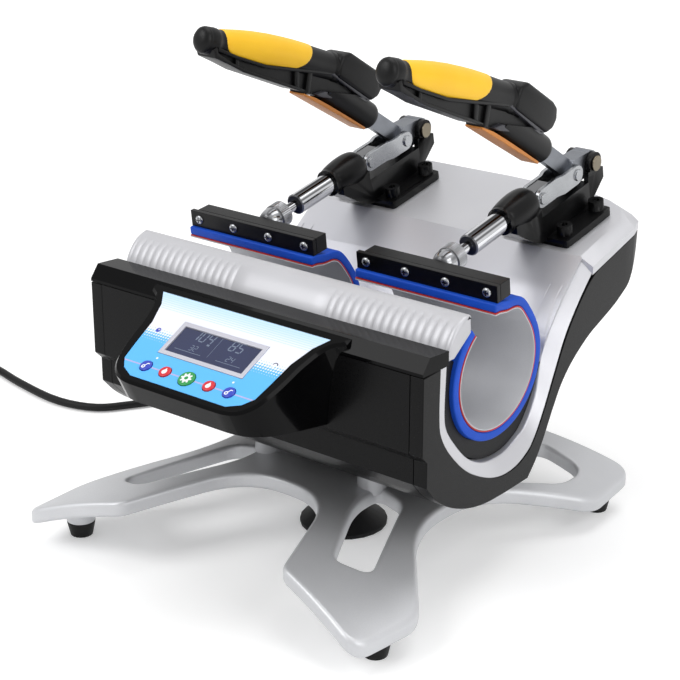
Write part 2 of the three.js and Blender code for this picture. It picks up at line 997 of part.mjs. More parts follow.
function makeSideCovers() {
  const outer = bodyShares.map(bodyPoint);
  const rim = offsetPath(trimOuterShares.map(bodyPoint), seatGap);
  const rearTop = outer[outer.length - 1];
  const rimTop = rim[rim.length - 1];
  const below = deckDepth + seatGap;
  const profile = [
    ...outer.slice(0, -1),
    [rearTop[0], deckZ(rearTop[0]) - below],
    [rimTop[0], deckZ(rimTop[0]) - below],
    ...rim.slice(0, -1).reverse(),
  ];
  const inside = sideHalfFront - sideCoverThickness;
  const plan = planPrism();
  for (const [side, fromX] of [["left", -sideHalfFront], ["right", inside]]) {
    const sheet = acrossX(roundedOutline(profile), fromX, fromX + sideCoverThickness);
    piece("side_cover_" + side, common(tapered(sheet), plan), "blackShell");
  }
}

function lengthened(path, reach) {
  const last = path.length - 1;
  const start = toward(path[0], path[1], -reach);
  const end = toward(path[last], path[last - 1], -reach);
  return [start, ...path.slice(1, last), end];
}

// The silver rim: each section runs from the outer curve in to the inner one, and back into the body.
function trimSolid(sideX, grow) {
  const outer = lengthened(offsetPath(trimOuterShares.map(bodyPoint), grow), grow + grow);
  const inner = lengthened(offsetPath(trimInnerShares.map(bodyPoint), -grow), grow + grow);
  const loops = outer.map((point, i) => {
    const face = sideHalfAt(point[0]) - trimStandProud + grow;
    const inset = face - trimInsetShares[i] * wellRadius;
    const back = trimThickness + grow + grow;
    const section = [
      [face, ...point],
      [inset, ...inner[i]],
      [inset - back, ...inner[i]],
      [face - back, ...point],
    ];
    return section.map(([x, y, z]) => [sideX * x, y, z]);
  });
  if (sideX > 0) loops.forEach((loop) => loop.reverse());
  const { positions, cap } = lofted(loops);
  cap(loops[0], true);
  cap(loops[loops.length - 1], false);
  return fromPositions(positions);
}

function makeTrims() {
  for (const [side, sideX] of [["left", -1], ["right", 1]]) {
    piece("end_trim_" + side, trimSolid(sideX, 0), "silver");
  }
}

function matEllipse(grow) {
  const outline = new THREE.Shape();
  const turn = Math.PI + Math.PI;
  outline.absellipse(matCentreY, matCentreZ, matReachY + grow, matReachZ + grow, 0, turn, false, 0);
  return outline;
}

function makeEndPlates() {
  const half = sideHalfFront - sideCoverThickness;
  const inner = offsetPath(trimInnerShares.slice(0, 12).map(bodyPoint), -seatGap);
  const plate = roundedOutline(inner);
  const hole = acrossX(matEllipse(matRoom), 0, sideHalfFront, 0, matHoleSteps);
  const holeLeft = acrossX(matEllipse(matRoom), -sideHalfFront, 0, 0, matHoleSteps);
  for (const [side, fromX] of [["left", -half - seatGap], ["right", half - endPlateThickness]]) {
    const sheet = tapered(acrossX(plate, fromX, fromX + endPlateThickness + seatGap));
    piece("end_plate_" + side, cut(sheet, side === "left" ? holeLeft : hole), "darkPlate");
  }
}

// A mat layer: a C between two ellipses, its upper half lower so that it lies under the bar.
function matLayer(outerGrow, innerGrow, half) {
  const barUnder = barCentreZ - (barHeight / 2) * Math.cos(barTilt) - stripDepth * Math.sin(barTilt);
  const upperReach = barUnder - seatGap - seatGap - matCentreZ;
  const at = (angle, grow) => {
    const reachZ = Math.sin(angle) > 0 ? upperReach : matReachZ;
    return [
      matCentreY + (matReachY + grow) * Math.cos(angle),
      matCentreZ + (reachZ + grow) * Math.sin(angle),
    ];
  };
  const sweep = matFreeAngle + Math.PI + Math.PI - matFixedAngle;
  const outer = [];
  const inner = [];
  for (let i = 0; i <= matSteps; i++) {
    const angle = matFixedAngle + (sweep * i) / matSteps;
    outer.push(at(angle, outerGrow));
    inner.push(at(angle, innerGrow));
  }
  return acrossX(roundedOutline([...outer, ...inner.reverse()]), -half, half);
}

function makeMat(side, station) {
  const linerFace = -jacketSheet - seatGap;
  const innerFace = linerFace - linerSheet - seatGap;
  piece("mat_jacket_" + side, matLayer(0, -jacketSheet, matHalfLength), "blueSilicone", station);
  piece("mat_liner_" + side, matLayer(linerFace, linerFace - linerSheet, matHalfLength), "redLiner", station);
  piece("mat_inner_" + side, matLayer(innerFace, innerFace - innerSheet, matHalfLength), "greySilicone", station);
}

function makeFrontCover() {
  const half = sideHalfFront - coverEndInset;
  const profile = coverShares.map(bodyPoint);
  const shell = tapered(acrossX(roundedOutline(profile), -half, half));
  const crest = profile.slice(1, 5);
  const pit = [...offsetPath(crest, -coverRibDepth), ...offsetPath(crest, overrun).reverse()];
  const ribSpan = half - coverFlatHalfWidth - coverGroove;
  const grooves = [];
  for (const sideX of [1, -1]) {
    for (let i = 0; i < coverRibCount; i++) {
      const x = sideX * (coverFlatHalfWidth + (ribSpan * i) / (coverRibCount - 1) + coverGroove / 2);
      grooves.push(acrossX(roundedOutline(pit), x - coverGroove / 2, x + coverGroove / 2));
    }
  }
  const room = acrossX(matEllipse(matRoom), -sideHalfFront, sideHalfFront, 0, matHoleSteps);
  piece("front_cover", cut(shell, ...grooves, room), "silver");
}

// Console: the panel's own frame has X across, Y up the panel and Z out of it.
const panelFrame = new THREE.Group();
panelFrame.position.set(0, panelTopY, matCentreZ + panelTopShare * wellRadius);
panelFrame.rotation.x = panelTilt;
panelFrame.updateMatrix();
press.add(panelFrame);

function panelOutline(shares, grow = 0) {
  const right = shares.map(([shareX, shareY, reach = 0]) => [
    shareX * panelHalfWidth + grow,
    -shareY * panelLength + (shareY > shares[0][1] ? -grow : grow),
    reach * panelHalfWidth,
  ]);
  const left = right.slice().reverse().map(([x, y, reach]) => [-x, y, reach]);
  return roundedOutline([...right.reverse(), ...left.reverse()]);
}

function panelSlab(outline, low, high, bevel = 0) {
  return extruded(outline, high - low, bevel, 2).translate(0, 0, low);
}

function panelBox(halfX, fromY, toY, low, high) {
  return boxBetween([-halfX, -toY, low], [halfX, -fromY, high]);
}

const keys = [
  ["key_middle", 0, middleKeyRadius, "keyGreen"],
  ["key_left_inner", -keyPitchInner, keyRadius, "keyRed"],
  ["key_right_inner", keyPitchInner, keyRadius, "keyRed"],
  ["key_left_outer", -keyPitchOuter, keyRadius, "keyBlue"],
  ["key_right_outer", keyPitchOuter, keyRadius, "keyBlue"],
];

function makeConsole() {
  const keyBase = keyProud - keyHeight;
  const frameFloor = -overlayRecess - displayThickness;
  const displayEnd = displayStart + displayLength;
  const housingTop = bodyPoint(bodyShares[0])[1] + ledgeInset;
  const ledgeTop = ledgeShares.map(bodyPoint);
  const ledge = [
    [ledgeTop[2][0], housingTop],
    ledgeTop[2],
    ledgeTop[1],
    ledgeTop[0],
    [ledgeTop[0][0], housingTop],
  ];
  const shelf = acrossX(roundedOutline(ledge), -ledgeHalf, ledgeHalf);
  const box = panelSlab(panelOutline(hoodShares), -hoodDepth, 0, hoodBevel);
  box.applyMatrix4(panelFrame.matrix);
  const under = hoodUnderShares.map(bodyPoint);
  const joinY = bodyPoint([hoodJoinShare, 0])[0];
  const sideView = [
    ...under.slice(0, -1),
    [joinY, under[under.length - 1][1]],
    [joinY, housingTop],
    [under[0][0], housingTop],
  ];
  const trimmed = common(box, acrossX(roundedOutline(sideView.reverse()), -ledgeHalf, ledgeHalf));
  const inPanel = (geometry) => geometry.applyMatrix4(panelFrame.matrix);
  const tools = [
    panelSlab(panelOutline(overlayShares, seatGap), -overlayRecess, overrun),
    panelBox(displayHalfWidth + seatGap, displayStart - seatGap, displayEnd + seatGap, frameFloor, overrun),
    ...keys.map(([, x, radius]) => {
      const well = turnedAlongZ([
        [0, keyBase - keyTravel - runGap],
        [radius + runGap, keyBase - keyTravel - runGap],
        [radius + runGap, overrun],
        [0, overrun],
      ], 12);
      return well.translate(x, -keyRow, 0);
    }),
  ].map(inPanel);
  piece("console_hood", cut(joined(trimmed, shelf), ...tools), "glossBlack");

  const overlay = panelSlab(panelOutline(overlayShares), seatGap - overlayRecess, seatGap - overlayRecess + overlayThickness);
  const windows = [
    panelBox(displayHalfWidth + seatGap, displayStart - seatGap, displayEnd + seatGap, -overrun, overrun),
    ...keys.map(([, x, radius]) => {
      const hole = new THREE.CylinderGeometry(radius + runGap, radius + runGap, overrun + overrun, 12);
      return hole.rotateX(Math.PI / 2).translate(x, -keyRow, 0);
    }),
  ];
  piece("panel_overlay", cut(overlay, ...windows), "overlay", panelFrame);

  const frameBase = frameFloor + seatGap;
  const glassFloor = displayThickness + frameBase - glassThickness;
  const frame = panelBox(displayHalfWidth, displayStart, displayEnd, frameBase, displayThickness + frameBase + displayProud);
  const opening = panelBox(
    displayHalfWidth - displayRim,
    displayStart + displayRim,
    displayEnd - displayRim,
    glassFloor,
    overrun,
  );
  piece("display_frame", cut(frame, opening), "frameGrey", panelFrame);
  const glass = panelBox(
    displayHalfWidth - displayRim - seatGap,
    displayStart + displayRim + seatGap,
    displayEnd - displayRim - seatGap,
    glassFloor + seatGap,
    glassFloor + seatGap + glassThickness,
  );
  piece("display_glass", glass, "glass", panelFrame);

  for (const [name, x, radius, look] of keys) {
    const key = turnedAlongZ([
      [0, 0],
      [radius, 0],
      [radius, keyHeight - keyRound],
      [radius - keyRound, keyHeight],
      [0, keyHeight],
    ], 16);
    piece(name, key.translate(x, -keyRow, keyBase), look, panelFrame);
  }
}

// Toggle clamp: its own frame has Y along the axis to the rear and Z off the deck.
function stadium(fromY, toY, z, radius) {
  const outline = new THREE.Shape();
  const quarter = Math.PI / 2;
  outline.absarc(fromY, z, radius, quarter, quarter + Math.PI, false);
  outline.absarc(toY, z, radius, -quarter, quarter, false);
  outline.closePath();
  return outline;
}

function alongAxis(profile, sides) {
  return turnedAlongY(profile, sides).translate(0, 0, axisHeight);
}

function clampShape(shares) {
  const outline = shares.map(([along, height, reach = 0]) => [
    along * barrelFront,
    height * axisHeight,
    reach * axisHeight,
  ]);
  return roundedOutline(outline);
}

function makeBracket(side, clamp) {
  const corners = [
    [-plateHalfWidth, 0, plateCorner],
    [plateHalfWidth, 0, plateCorner],
    [plateHalfWidth, plateLength, plateCorner],
    [-plateHalfWidth, plateLength, plateCorner],
  ];
  const plate = extruded(roundedOutline(corners), plateThickness, 0, 2);
  const swell = barrelShares.map(([radius, along]) => [radius * barrelRadius, -along * barrelFront]);
  const barrel = alongAxis(swell, 18);
  const saddle = acrossX(clampShape(saddleShares), -saddleHalf, saddleHalf);
  const earInner = tangHalf + linkStep + runGap;
  const ears = [-earInner - earThickness, earInner].map((fromX) => {
    const blade = acrossX(clampShape(earShares), fromX, fromX + earThickness);
    const eye = cylinderAlongX(earRadius, fromX, fromX + earThickness, 16);
    return joined(blade, eye.translate(0, pivotAlong, axisHeight));
  });
  const screws = [];
  for (const sideX of [1, -1]) {
    for (const along of [screwFrontAlong, screwRearAlong]) {
      const top = plateThickness + screwHead;
      const screw = turnedAlongZ([
        [0, plateThickness / 2],
        [screwRadius, plateThickness / 2],
        [screwRadius, top],
        [screwSocketRadius, top],
        [screwSocketRadius, top - screwSocketDepth],
        [0, top - screwSocketDepth],
      ], 8);
      screws.push(screw.translate(sideX * screwSide, along, 0));
    }
  }
  const bore = alongAxis([
    [0, -barrelFront - overrun],
    [plungerRadius + runGap, -barrelFront - overrun],
    [plungerRadius + runGap, plateLength],
    [0, plateLength],
  ], 14);
  const pinHole = cylinderAlongX(pivotPinRadius + seatGap, -plateHalfWidth, plateHalfWidth, 12);
  const body = joined(plate, barrel, saddle, ...ears, ...screws);
  const bracket = cut(body, bore, pinHole.translate(0, pivotAlong, axisHeight));
  piece("clamp_bracket_" + side, bracket, "blackSteel", clamp);

  const headX = earInner + earThickness + seatGap;
  const pin = joined(
    cylinderAlongX(pivotPinRadius, -headX - seatGap, headX + seatGap, 12),
    cylinderAlongX(pinHeadRadius + pinHeadThickness, headX, headX + pinHeadThickness, 16),
    cylinderAlongX(pinHeadRadius + pinHeadThickness, -headX - pinHeadThickness, -headX, 16),
  );
  piece("pivot_pin_" + side, pin.translate(0, pivotAlong, axisHeight), "zinc", clamp);
}

const crankAlong = pivotAlong - crankLength;
const wristAlong = crankAlong - linkLength;

function makePlunger(side, clamp) {
  const tube = alongAxis([
    [0, -studEnd],
    [studRadius, -studEnd],
    [studRadius, -plungerFront],
    [plungerRadius - plungerChamfer, -plungerFront],
    [plungerRadius, plungerChamfer - plungerFront],
    [plungerRadius, tubeRear],
    [0, tubeRear],
  ], 18);
  const tang = boxBetween(
    [-tangHalf, tubeRear - overrun, axisHeight - tangHalfHeight],
    [tangHalf, tangRear, axisHeight + tangHalfHeight],
  );
  const straight = slotHalfLength - slotHalfHeight;
  const slot = acrossX(
    stadium(wristAlong - straight, wristAlong + straight, axisHeight + slotLift, slotHalfHeight),
    -plungerRadius,
    plungerRadius,
  );
  piece("plunger_" + side, cut(joined(tube, tang), slot), "chrome", clamp);

  const gear = new THREE.Shape();
  for (let i = 0; i < nutTeeth + nutTeeth; i++) {
    const angle = (Math.PI * i) / nutTeeth;
    const radius = i % 2 ? nutRadius - nutTooth : nutRadius;
    const x = radius * Math.cos(angle);
    const y = radius * Math.sin(angle);
    if (i === 0) gear.moveTo(x, y);
    else gear.lineTo(x, y);
  }
  const knurl = extruded(gear, nutShoulder - nutRear);
  knurl.rotateX(Math.PI / 2).translate(0, -nutRear, axisHeight);
  const dome = alongAxis([
    [0, -nutFront],
    [nutTipRadius, -nutFront],
    [nutDomeRadius - plungerChamfer, -nutShoulder - plungerRadius],
    [nutDomeRadius, -nutShoulder - studRadius],
    [nutDomeRadius - plungerChamfer, -nutShoulder],
    [nutDomeRadius - plungerChamfer, plungerChamfer - nutShoulder],
    [0, plungerChamfer - nutShoulder],
  ], 18);
  const bore = alongAxis([
    [0, -studEnd - seatGap],
    [studRadius + seatGap, -studEnd - seatGap],
    [studRadius + seatGap, overrun - nutRear],
    [0, overrun - nutRear],
  ], 12);
  piece("knurled_nut_" + side, cut(joined(knurl, dome), bore), "chrome", clamp);
}

function makeLink(side, clamp) {
  const inner = tangHalf + runGap;
  const outerInner = inner + linkStep;
  const path = [
    [wristAlong - linkHalfHeight - overrun, inner],
    [wristAlong + linkStepStart, inner],
    [wristAlong + linkStepEnd, outerInner],
    [crankAlong + linkHalfHeight + overrun, outerInner],
  ];
  const profile = stadium(wristAlong, crankAlong, axisHeight, linkHalfHeight);
  const blank = acrossX(profile, -plateHalfWidth, plateHalfWidth, 0, 4);
  const plates = [1, -1].map((sideX) => {
    const wide = offsetPath(path, -linkPlate);
    const band = [...path, ...wide.reverse()].map(([along, x]) => [sideX * x, along]);
    const outline = roundedOutline(sideX > 0 ? band.reverse() : band);
    const low = axisHeight - linkHalfHeight - overrun;
    const sheet = extruded(outline, linkHalfHeight + linkHalfHeight + overrun + overrun).translate(0, 0, low);
    return common(sheet, blank);
  });
  const pins = [
    [wristAlong, linkPinRadius, inner + linkPlate],
    [crankAlong, crankPinRadius, outerInner + linkPlate],
  ].map(([along, radius, face]) => {
    const reach = face + pinHeadThickness;
    const shank = cylinderAlongX(radius, -reach, reach, 10);
    const heads = [face - pinHeadThickness, -reach].map((fromX) =>
      cylinderAlongX(pinHeadRadius, fromX, fromX + pinHeadThickness + pinHeadThickness, 10),
    );
    return joined(shank, ...heads).translate(0, along, axisHeight);
  });
  piece("link_" + side, joined(...plates, ...pins), "zinc", clamp);
}

function leverBar(grow) {
  const bar = boxBetween(
    [-leverBarThickness / 2 - grow, -leverBarLength - grow, -leverBarHeight / 2 - grow],
    [leverBarThickness / 2 + grow, 0, leverBarHeight / 2 + grow],
  );
  return bar.rotateX(-leverTilt).translate(0, leverFootAlong, leverFootHeight);
}

function makeLever(side, clamp) {
  const half = tangHalf + linkStep;
  const corners = leverPlateShares.map(([along, height, reach]) => [
    pivotAlong + along * crankLength,
    axisHeight + height * leverHub,
    reach * leverHub,
  ]);
  const plate = acrossX(roundedOutline(corners), -half, half);
  const hub = cylinderAlongX(leverHub, -half, half, 18).translate(0, pivotAlong, axisHeight);
  const holes = [
    [pivotAlong, pivotPinRadius],
    [crankAlong, crankPinRadius],
  ].map(([along, radius]) => {
    const hole = cylinderAlongX(radius + runGap, -plateHalfWidth, plateHalfWidth, 12);
    return hole.translate(0, along, axisHeight);
  });
  piece("lever_" + side, cut(joined(plate, hub, leverBar(0)), ...holes), "zinc", clamp);
}

// Where the lever's bar starts, in the upright frame of the station.
function leverFoot() {
  const foot = new THREE.Vector3(0, leverFootAlong, leverFootHeight);
  foot.applyAxisAngle(new THREE.Vector3(1, 0, 0), deckTilt);
  return [clampY + foot.y, deckZ(clampY) + seatGap + foot.z];
}

// Handle, in the upright frame of the station, placed from the lever's foot
function handlePoint([shareY, shareZ, reach = 0]) {
  const [footY, footZ] = leverFoot();
  return [
    footY - handleBack - (1 - shareY) * handleLength,
    footZ + handleLift + shareZ * handleRise,
    reach * handleLength,
  ];
}

function grownOutline(points, grow) {
  const closed = [...points, points[0], points[1]];
  const area = THREE.ShapeUtils.area(points.map(([y, z]) => new THREE.Vector2(y, z)));
  const moved = offsetPath([points[points.length - 1], ...closed], Math.sign(area) * grow);
  return moved.slice(1, 1 + points.length);
}

// A flat part of the handle, to both sides of the middle, with its outline turned the same way round.
function handlePlate(shares, half, grow = 0, bevel = 0) {
  const points = shares.map(handlePoint);
  const rounded = grow ? grownOutline(points, grow) : points;
  const area = THREE.ShapeUtils.area(points.map(([y, z]) => new THREE.Vector2(y, z)));
  return acrossX(roundedOutline(area < 0 ? rounded.reverse() : rounded), -half, half, bevel, 2);
}

// The grip tube, through rings that stand square to its run.
function gripTube(grow) {
  const loops = gripStationShares.map((station) => {
    const [y, z, reach] = handlePoint(station);
    const radius = reach + grow;
    const loop = [];
    for (let i = 0; i < gripSides; i++) {
      const angle = ((Math.PI + Math.PI) * i) / gripSides;
      const lift = radius * Math.cos(angle);
      loop.push([radius * Math.sin(angle), y + lift * Math.sin(gripTilt), z + lift * Math.cos(gripTilt)]);
    }
    return loop;
  });
  const { positions, cap } = lofted(loops);
  cap(loops[0], true);
  cap(loops[loops.length - 1], false);
  return fromPositions(positions);
}

function makeHandle(side, station, clamp) {
  clamp.updateMatrix();
  const wide = blockHalf + overrun;
  const core = gripTube(-gripWall);
  const keel = handlePlate(keelShares, keelHalf);
  const tube = cut(gripTube(0), handlePlate(insertShares, wide, seatGap));
  const leg = turnedAlongY([
    [0, -legReach],
    [legRadius, -legReach],
    [legRadius, -legMouth - legRound],
    [legRadius - legRound, -legMouth],
    [0, -legMouth],
  ], 12);
  leg.rotateX(-leverTilt).translate(0, leverFootAlong, leverFootHeight).applyMatrix4(clamp.matrix);
  const parts = [
    core,
    keel,
    handlePlate(flangeShares, flangeHalf),
    ...ribShares.map((rib) => handlePlate(rib, ribHalf)),
    ...bandShares.map((band) => handlePlate(band, flangeHalf)),
    handlePlate(blockShares, blockHalf, 0, blockBevel),
    common(leg, handlePlate(legShares, wide)),
  ];
  const tools = [
    handlePlate(stripShares, wide, seatGap),
    leverBar(seatGap).applyMatrix4(clamp.matrix),
  ];
  piece("handle_" + side, cut(joined(tube, ...parts), ...tools), "blackPlastic", station);
  const shell = common(gripTube(gripProud), handlePlate(insertShares, wide));
  const grip = cut(shell, gripTube(seatGap - gripWall), handlePlate(keelShares, keelHalf + seatGap, seatGap));
  piece("grip_" + side, grip, "yellow", station);
  piece("grip_strip_" + side, handlePlate(stripShares, stripHalf), "orange", station);
}

// Pressure bar: its own frame follows the bar's tilt.
function makeBar(side, station) {
  const bar = new THREE.Group();
  bar.position.set(0, barCentreY, barCentreZ);
  bar.rotation.x = barTilt;
  station.add(bar);
  const front = -(barDepth + stripDepth + seatGap) / 2;
  const joint = front + stripDepth;
  const half = barHeight / 2;
  const block = boxBetween([barSetback - barHalf, joint + seatGap, -half], [barHalf, joint + seatGap + barDepth, half]);
  piece("bar_block_" + side, block, "blackSteel", bar);
  const strip = boxBetween([-barHalf, front, -half], [barHalf, joint, half]);
  const screws = [];
  for (let i = 0; i < barScrewCount; i++) {
    const x = (i - (barScrewCount - 1) / 2) * barScrewPitch;
    const screw = turnedAlongY([
      [0, front - barScrewHead],
      [barScrewRadius / 2, front - barScrewHead],
      [barScrewRadius, front - barScrewHead / 2],
      [barScrewRadius, front + barScrewHead],
      [0, front + barScrewHead],
    ], 8);
    screws.push(screw.translate(x, 0, 0));
  }
  piece("bar_strip_" + side, joined(strip, ...screws), "blackSteel", bar);
}

function makeStations() {
  for (const [side, sideX] of [["left", -1], ["right", 1]]) {
    const station = new THREE.Group();
    station.position.x = sideX * stationX;
    press.add(station);
    const clamp = new THREE.Group();
    clamp.position.set(0, clampY, deckZ(clampY) + seatGap);
    clamp.rotation.x = deckTilt;
    station.add(clamp);
    makeMat(side, station);
    makeBar(side, station);
    makeBracket(side, clamp);
    makePlunger(side, clamp);
    makeLink(side, clamp);
    makeLever(side, clamp);
    makeHandle(side, station, clamp);
  }
}

// Rear fittings: their frame lies on the sloped back, with Z pointing out of it.
const backLow = bodyPoint(bodyShares[backSegment]);
const backHigh = bodyPoint(bodyShares[backSegment + 1]);
const backFrame = new THREE.Group();
backFrame.position.set(0, (backLow[0] + backHigh[0]) / 2, (backLow[1] + backHigh[1]) / 2);
backFrame.rotation.x = Math.atan2(backLow[1] - backHigh[1], backLow[0] - backHigh[0]);
backFrame.updateMatrix();
press.add(backFrame);

function switchPocket() {
  const x = switchHalfWidth - switchBodyInset + seatGap;
  const y = switchHalfHeight - switchBodyInset + seatGap;
  const pocket = boxBetween([switchX - x, -y, -switchBody - seatGap], [switchX + x, y, overrun]);
  return pocket.applyMatrix4(backFrame.matrix);
}

function makeRearFittings() {
  const x = switchHalfWidth - switchBodyInset;
  const y = switchHalfHeight - switchBodyInset;
  const rimTop = seatGap + switchRim;
  const body = joined(
    boxBetween([-x, -y, -switchBody], [x, y, rimTop]),
    boxBetween([-switchHalfWidth, -switchHalfHeight, seatGap], [switchHalfWidth, switchHalfHeight, rimTop]),
  );
  const wellX = rockerHalfWidth + runGap;
  const wellY = rockerHalfHeight + runGap + runGap;
  const well = boxBetween([-wellX, -wellY, rimTop - rockerWell], [wellX, wellY, overrun]);
  piece("power_switch", cut(body, well).translate(switchX, 0, 0), "blackPlastic", backFrame);

  const seesaw = [
    [-rockerHalfHeight, -rockerDepth],
    [rockerHalfHeight, -rockerDepth],
    [rockerHalfHeight, rockerProud],
    [0, rockerCrown],
    [-rockerHalfHeight, rockerProud],
  ];
  const rocker = acrossX(roundedOutline(seesaw), -rockerHalfWidth, rockerHalfWidth);
  rocker.rotateX(rockerSwing).translate(switchX, 0, 0);
  piece("power_rocker", rocker, "keyRed", backFrame);

  const fuse = turnedAlongZ([
    [0, seatGap],
    [fuseRadius, seatGap],
    [fuseRadius, seatGap + fuseFlange],
    [fuseCapRadius, seatGap + fuseFlange],
    [fuseCapRadius, seatGap + fuseLength],
    [0, seatGap + fuseLength],
  ], 14);
  piece("fuse_holder", fuse.translate(fuseX, 0, 0), "blackPlastic", backFrame);

  const gland = turnedAlongZ([
    [0, seatGap],
    [glandRadius, seatGap],
    [glandRadius, seatGap + glandFlange],
    [glandNeckRadius, seatGap + glandLength],
    [0, seatGap + glandLength],
  ], 14);
  piece("strain_relief", gland.translate(glandX, 0, 0), "rubber", backFrame);
}

// Power cord
function cordSection(sides) {
  const section = new THREE.Shape();
  for (let i = 0; i < sides; i++) {
    const angle = ((Math.PI + Math.PI) * i) / sides;
    const x = cordRadius * Math.cos(angle);
    const y = cordRadius * Math.sin(angle);
    if (i === 0) section.moveTo(x, y);
    else section.lineTo(x, y);
  }
  return section;
}

class Coil extends THREE.Curve {
  constructor() {
    super();
    this.turns = coilTurns + coilClimbTurns + coilTurns;
    this.inner = coilOuter - coilTurns * coilPitch;
    this.lengthOfTurns = Math.PI * (coilOuter + this.inner) * this.turns;
    this.total = this.lengthOfTurns + plugLead;
  }

  // Distance is counted in turns, so that the loops have even steps.
  getPoint(t, target = new THREE.Vector3()) {
    const turn = Math.min((t * this.total * this.turns) / this.lengthOfTurns, this.turns);
    const climbEnd = coilTurns + coilClimbTurns;
    const inward = Math.min(turn, coilTurns);
    const outward = Math.max(turn - climbEnd, 0);
    const climb = THREE.MathUtils.smoothstep(turn, coilTurns, climbEnd);
    const radius = coilOuter - (inward - outward) * coilPitch;
    const angle = Math.PI / 2 + turn * (Math.PI + Math.PI);
    const floorZ = cordPoints[cordPoints.length - 1][2];
    target.set(
      cordEndX + radius * Math.cos(angle),
      cordEndY - coilOuter + radius * Math.sin(angle),
      floorZ + climb * coilLayer,
    );
    const past = Math.max(t * this.total - this.lengthOfTurns, 0);
    target.x -= past;
    return target;
  }
}

function makeCord() {
  const points = cordPoints.map((point) => new THREE.Vector3(...point));
  const route = new THREE.CatmullRomCurve3(points, false, "centripetal");
  const cord = new THREE.ExtrudeGeometry(cordSection(cordSides), {
    steps: cordSteps,
    bevelEnabled: false,
    extrudePath: route,
  });
  piece("power_cord", cord, "rubber");

  const coilCurve = new Coil();
  const coilRuns = Math.round(coilCurve.turns * coilSteps);
  const coil = new THREE.ExtrudeGeometry(cordSection(coilSides), {
    steps: coilRuns,
    bevelEnabled: false,
    extrudePath: coilCurve,
  });
  piece("cord_coil", coil, "rubber");

  const samples = coilCurve.getSpacedPoints(coilRuns * 4);
  const skip = coilSteps * 2;
  let least = Infinity;
  samples.forEach((point, i) => {
    for (let j = i + skip; j < samples.length; j++) {
      least = Math.min(least, point.distanceTo(samples[j]));
    }
  });
  console.log("least gap between the coil's loops, mm: " + (least - cordRadius - cordRadius).toFixed(2));

  const end = coilCurve.getPoint(1);
  const half = plugWidth / 2;
  const plan = [
    [0, -plugNoseHalf, 0],
    [-plugTaper, -half, plugShoulder],
    [-plugLength, -half, plugCorner],
    [-plugLength, half, plugCorner],
    [-plugTaper, half, plugShoulder],
    [0, plugNoseHalf, 0],
  ];
  const shell = extruded(roundedOutline(plan.reverse()), plugHeight, plugEdge, 2);
  shell.translate(0, 0, -plugHeight / 2);
  const face = -plugLength + prongThickness;
  const tip = -plugLength - prongLength;
  const blades = [1, -1].map((sideY) => {
    const middle = (sideY * prongSpacing) / 2;
    return boxBetween(
      [tip, middle - prongThickness / 2, groundLift - prongWidth / 2],
      [face, middle + prongThickness / 2, groundLift + prongWidth / 2],
    );
  });
  const ground = cylinderAlongX(groundRadius, tip, face, 12).translate(0, 0, groundLift - prongSpacing + groundRadius / 2);
  const plug = joined(shell, ...blades, ground);
  piece("plug", plug.translate(end.x - seatGap, end.y, Math.max(end.z, plugHeight / 2)), "blackPlastic");
}

makeCasting();
makeFeet();
makeHousing();
makeRearShell();
makeSideCovers();
makeTrims();
makeEndPlates();
makeFrontCover();
makeConsole();
makeStations();
makeRearFittings();
const bounds = new THREE.Box3().setFromObject(press);
makeCord();
press.position.y = -(bounds.min.y + bounds.max.y) / 2;

export default press;
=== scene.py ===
import json
import math
import bpy
import bmesh
from mathutils import Matrix, Vector

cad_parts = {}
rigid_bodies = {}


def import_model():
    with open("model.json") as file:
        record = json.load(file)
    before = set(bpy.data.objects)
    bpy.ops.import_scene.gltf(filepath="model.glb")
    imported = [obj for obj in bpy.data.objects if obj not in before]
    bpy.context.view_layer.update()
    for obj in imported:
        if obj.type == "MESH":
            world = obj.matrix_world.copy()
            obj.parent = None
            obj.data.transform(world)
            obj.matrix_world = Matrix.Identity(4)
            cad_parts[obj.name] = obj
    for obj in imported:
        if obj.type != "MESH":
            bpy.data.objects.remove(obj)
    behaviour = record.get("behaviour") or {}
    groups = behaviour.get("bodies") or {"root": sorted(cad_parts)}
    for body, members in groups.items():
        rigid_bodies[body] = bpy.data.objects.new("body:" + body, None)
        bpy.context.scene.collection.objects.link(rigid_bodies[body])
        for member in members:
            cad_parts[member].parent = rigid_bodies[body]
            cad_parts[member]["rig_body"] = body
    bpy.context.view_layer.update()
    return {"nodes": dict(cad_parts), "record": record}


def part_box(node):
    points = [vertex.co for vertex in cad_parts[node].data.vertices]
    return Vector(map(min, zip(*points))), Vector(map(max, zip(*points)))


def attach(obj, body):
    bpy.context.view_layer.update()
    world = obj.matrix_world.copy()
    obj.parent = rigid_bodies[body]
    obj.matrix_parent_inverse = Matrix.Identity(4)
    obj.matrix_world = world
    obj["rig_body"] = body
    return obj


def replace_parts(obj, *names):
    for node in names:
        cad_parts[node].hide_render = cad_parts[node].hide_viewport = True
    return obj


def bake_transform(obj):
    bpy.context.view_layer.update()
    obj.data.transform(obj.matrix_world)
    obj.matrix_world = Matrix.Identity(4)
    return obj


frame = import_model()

nodes = frame["nodes"]
scene = bpy.context.scene

# The scene is in metres: X to the operator's right, Y to the rear, Z up.
# Forms are drawn in millimetres in the body's own frame, which starts behind the front feet,
# and those that repeat on both sides in the frame of their station.
FEET_AHEAD = 0.130
STATION_X = 0.08165
SIDES = {"left": -1, "right": 1}
foot_low, foot_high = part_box("foot_front_left")
BODY_Y = (foot_low.y + foot_high.y) / 2 + FEET_AHEAD

# Deck and toggle clamp
DECK_TILT = math.radians(11.3)
CLAMP = Matrix.Translation((0, 142.7, 210.754)) @ Matrix.Rotation(DECK_TILT, 4, "X")
CLAMP_AXIS = 36

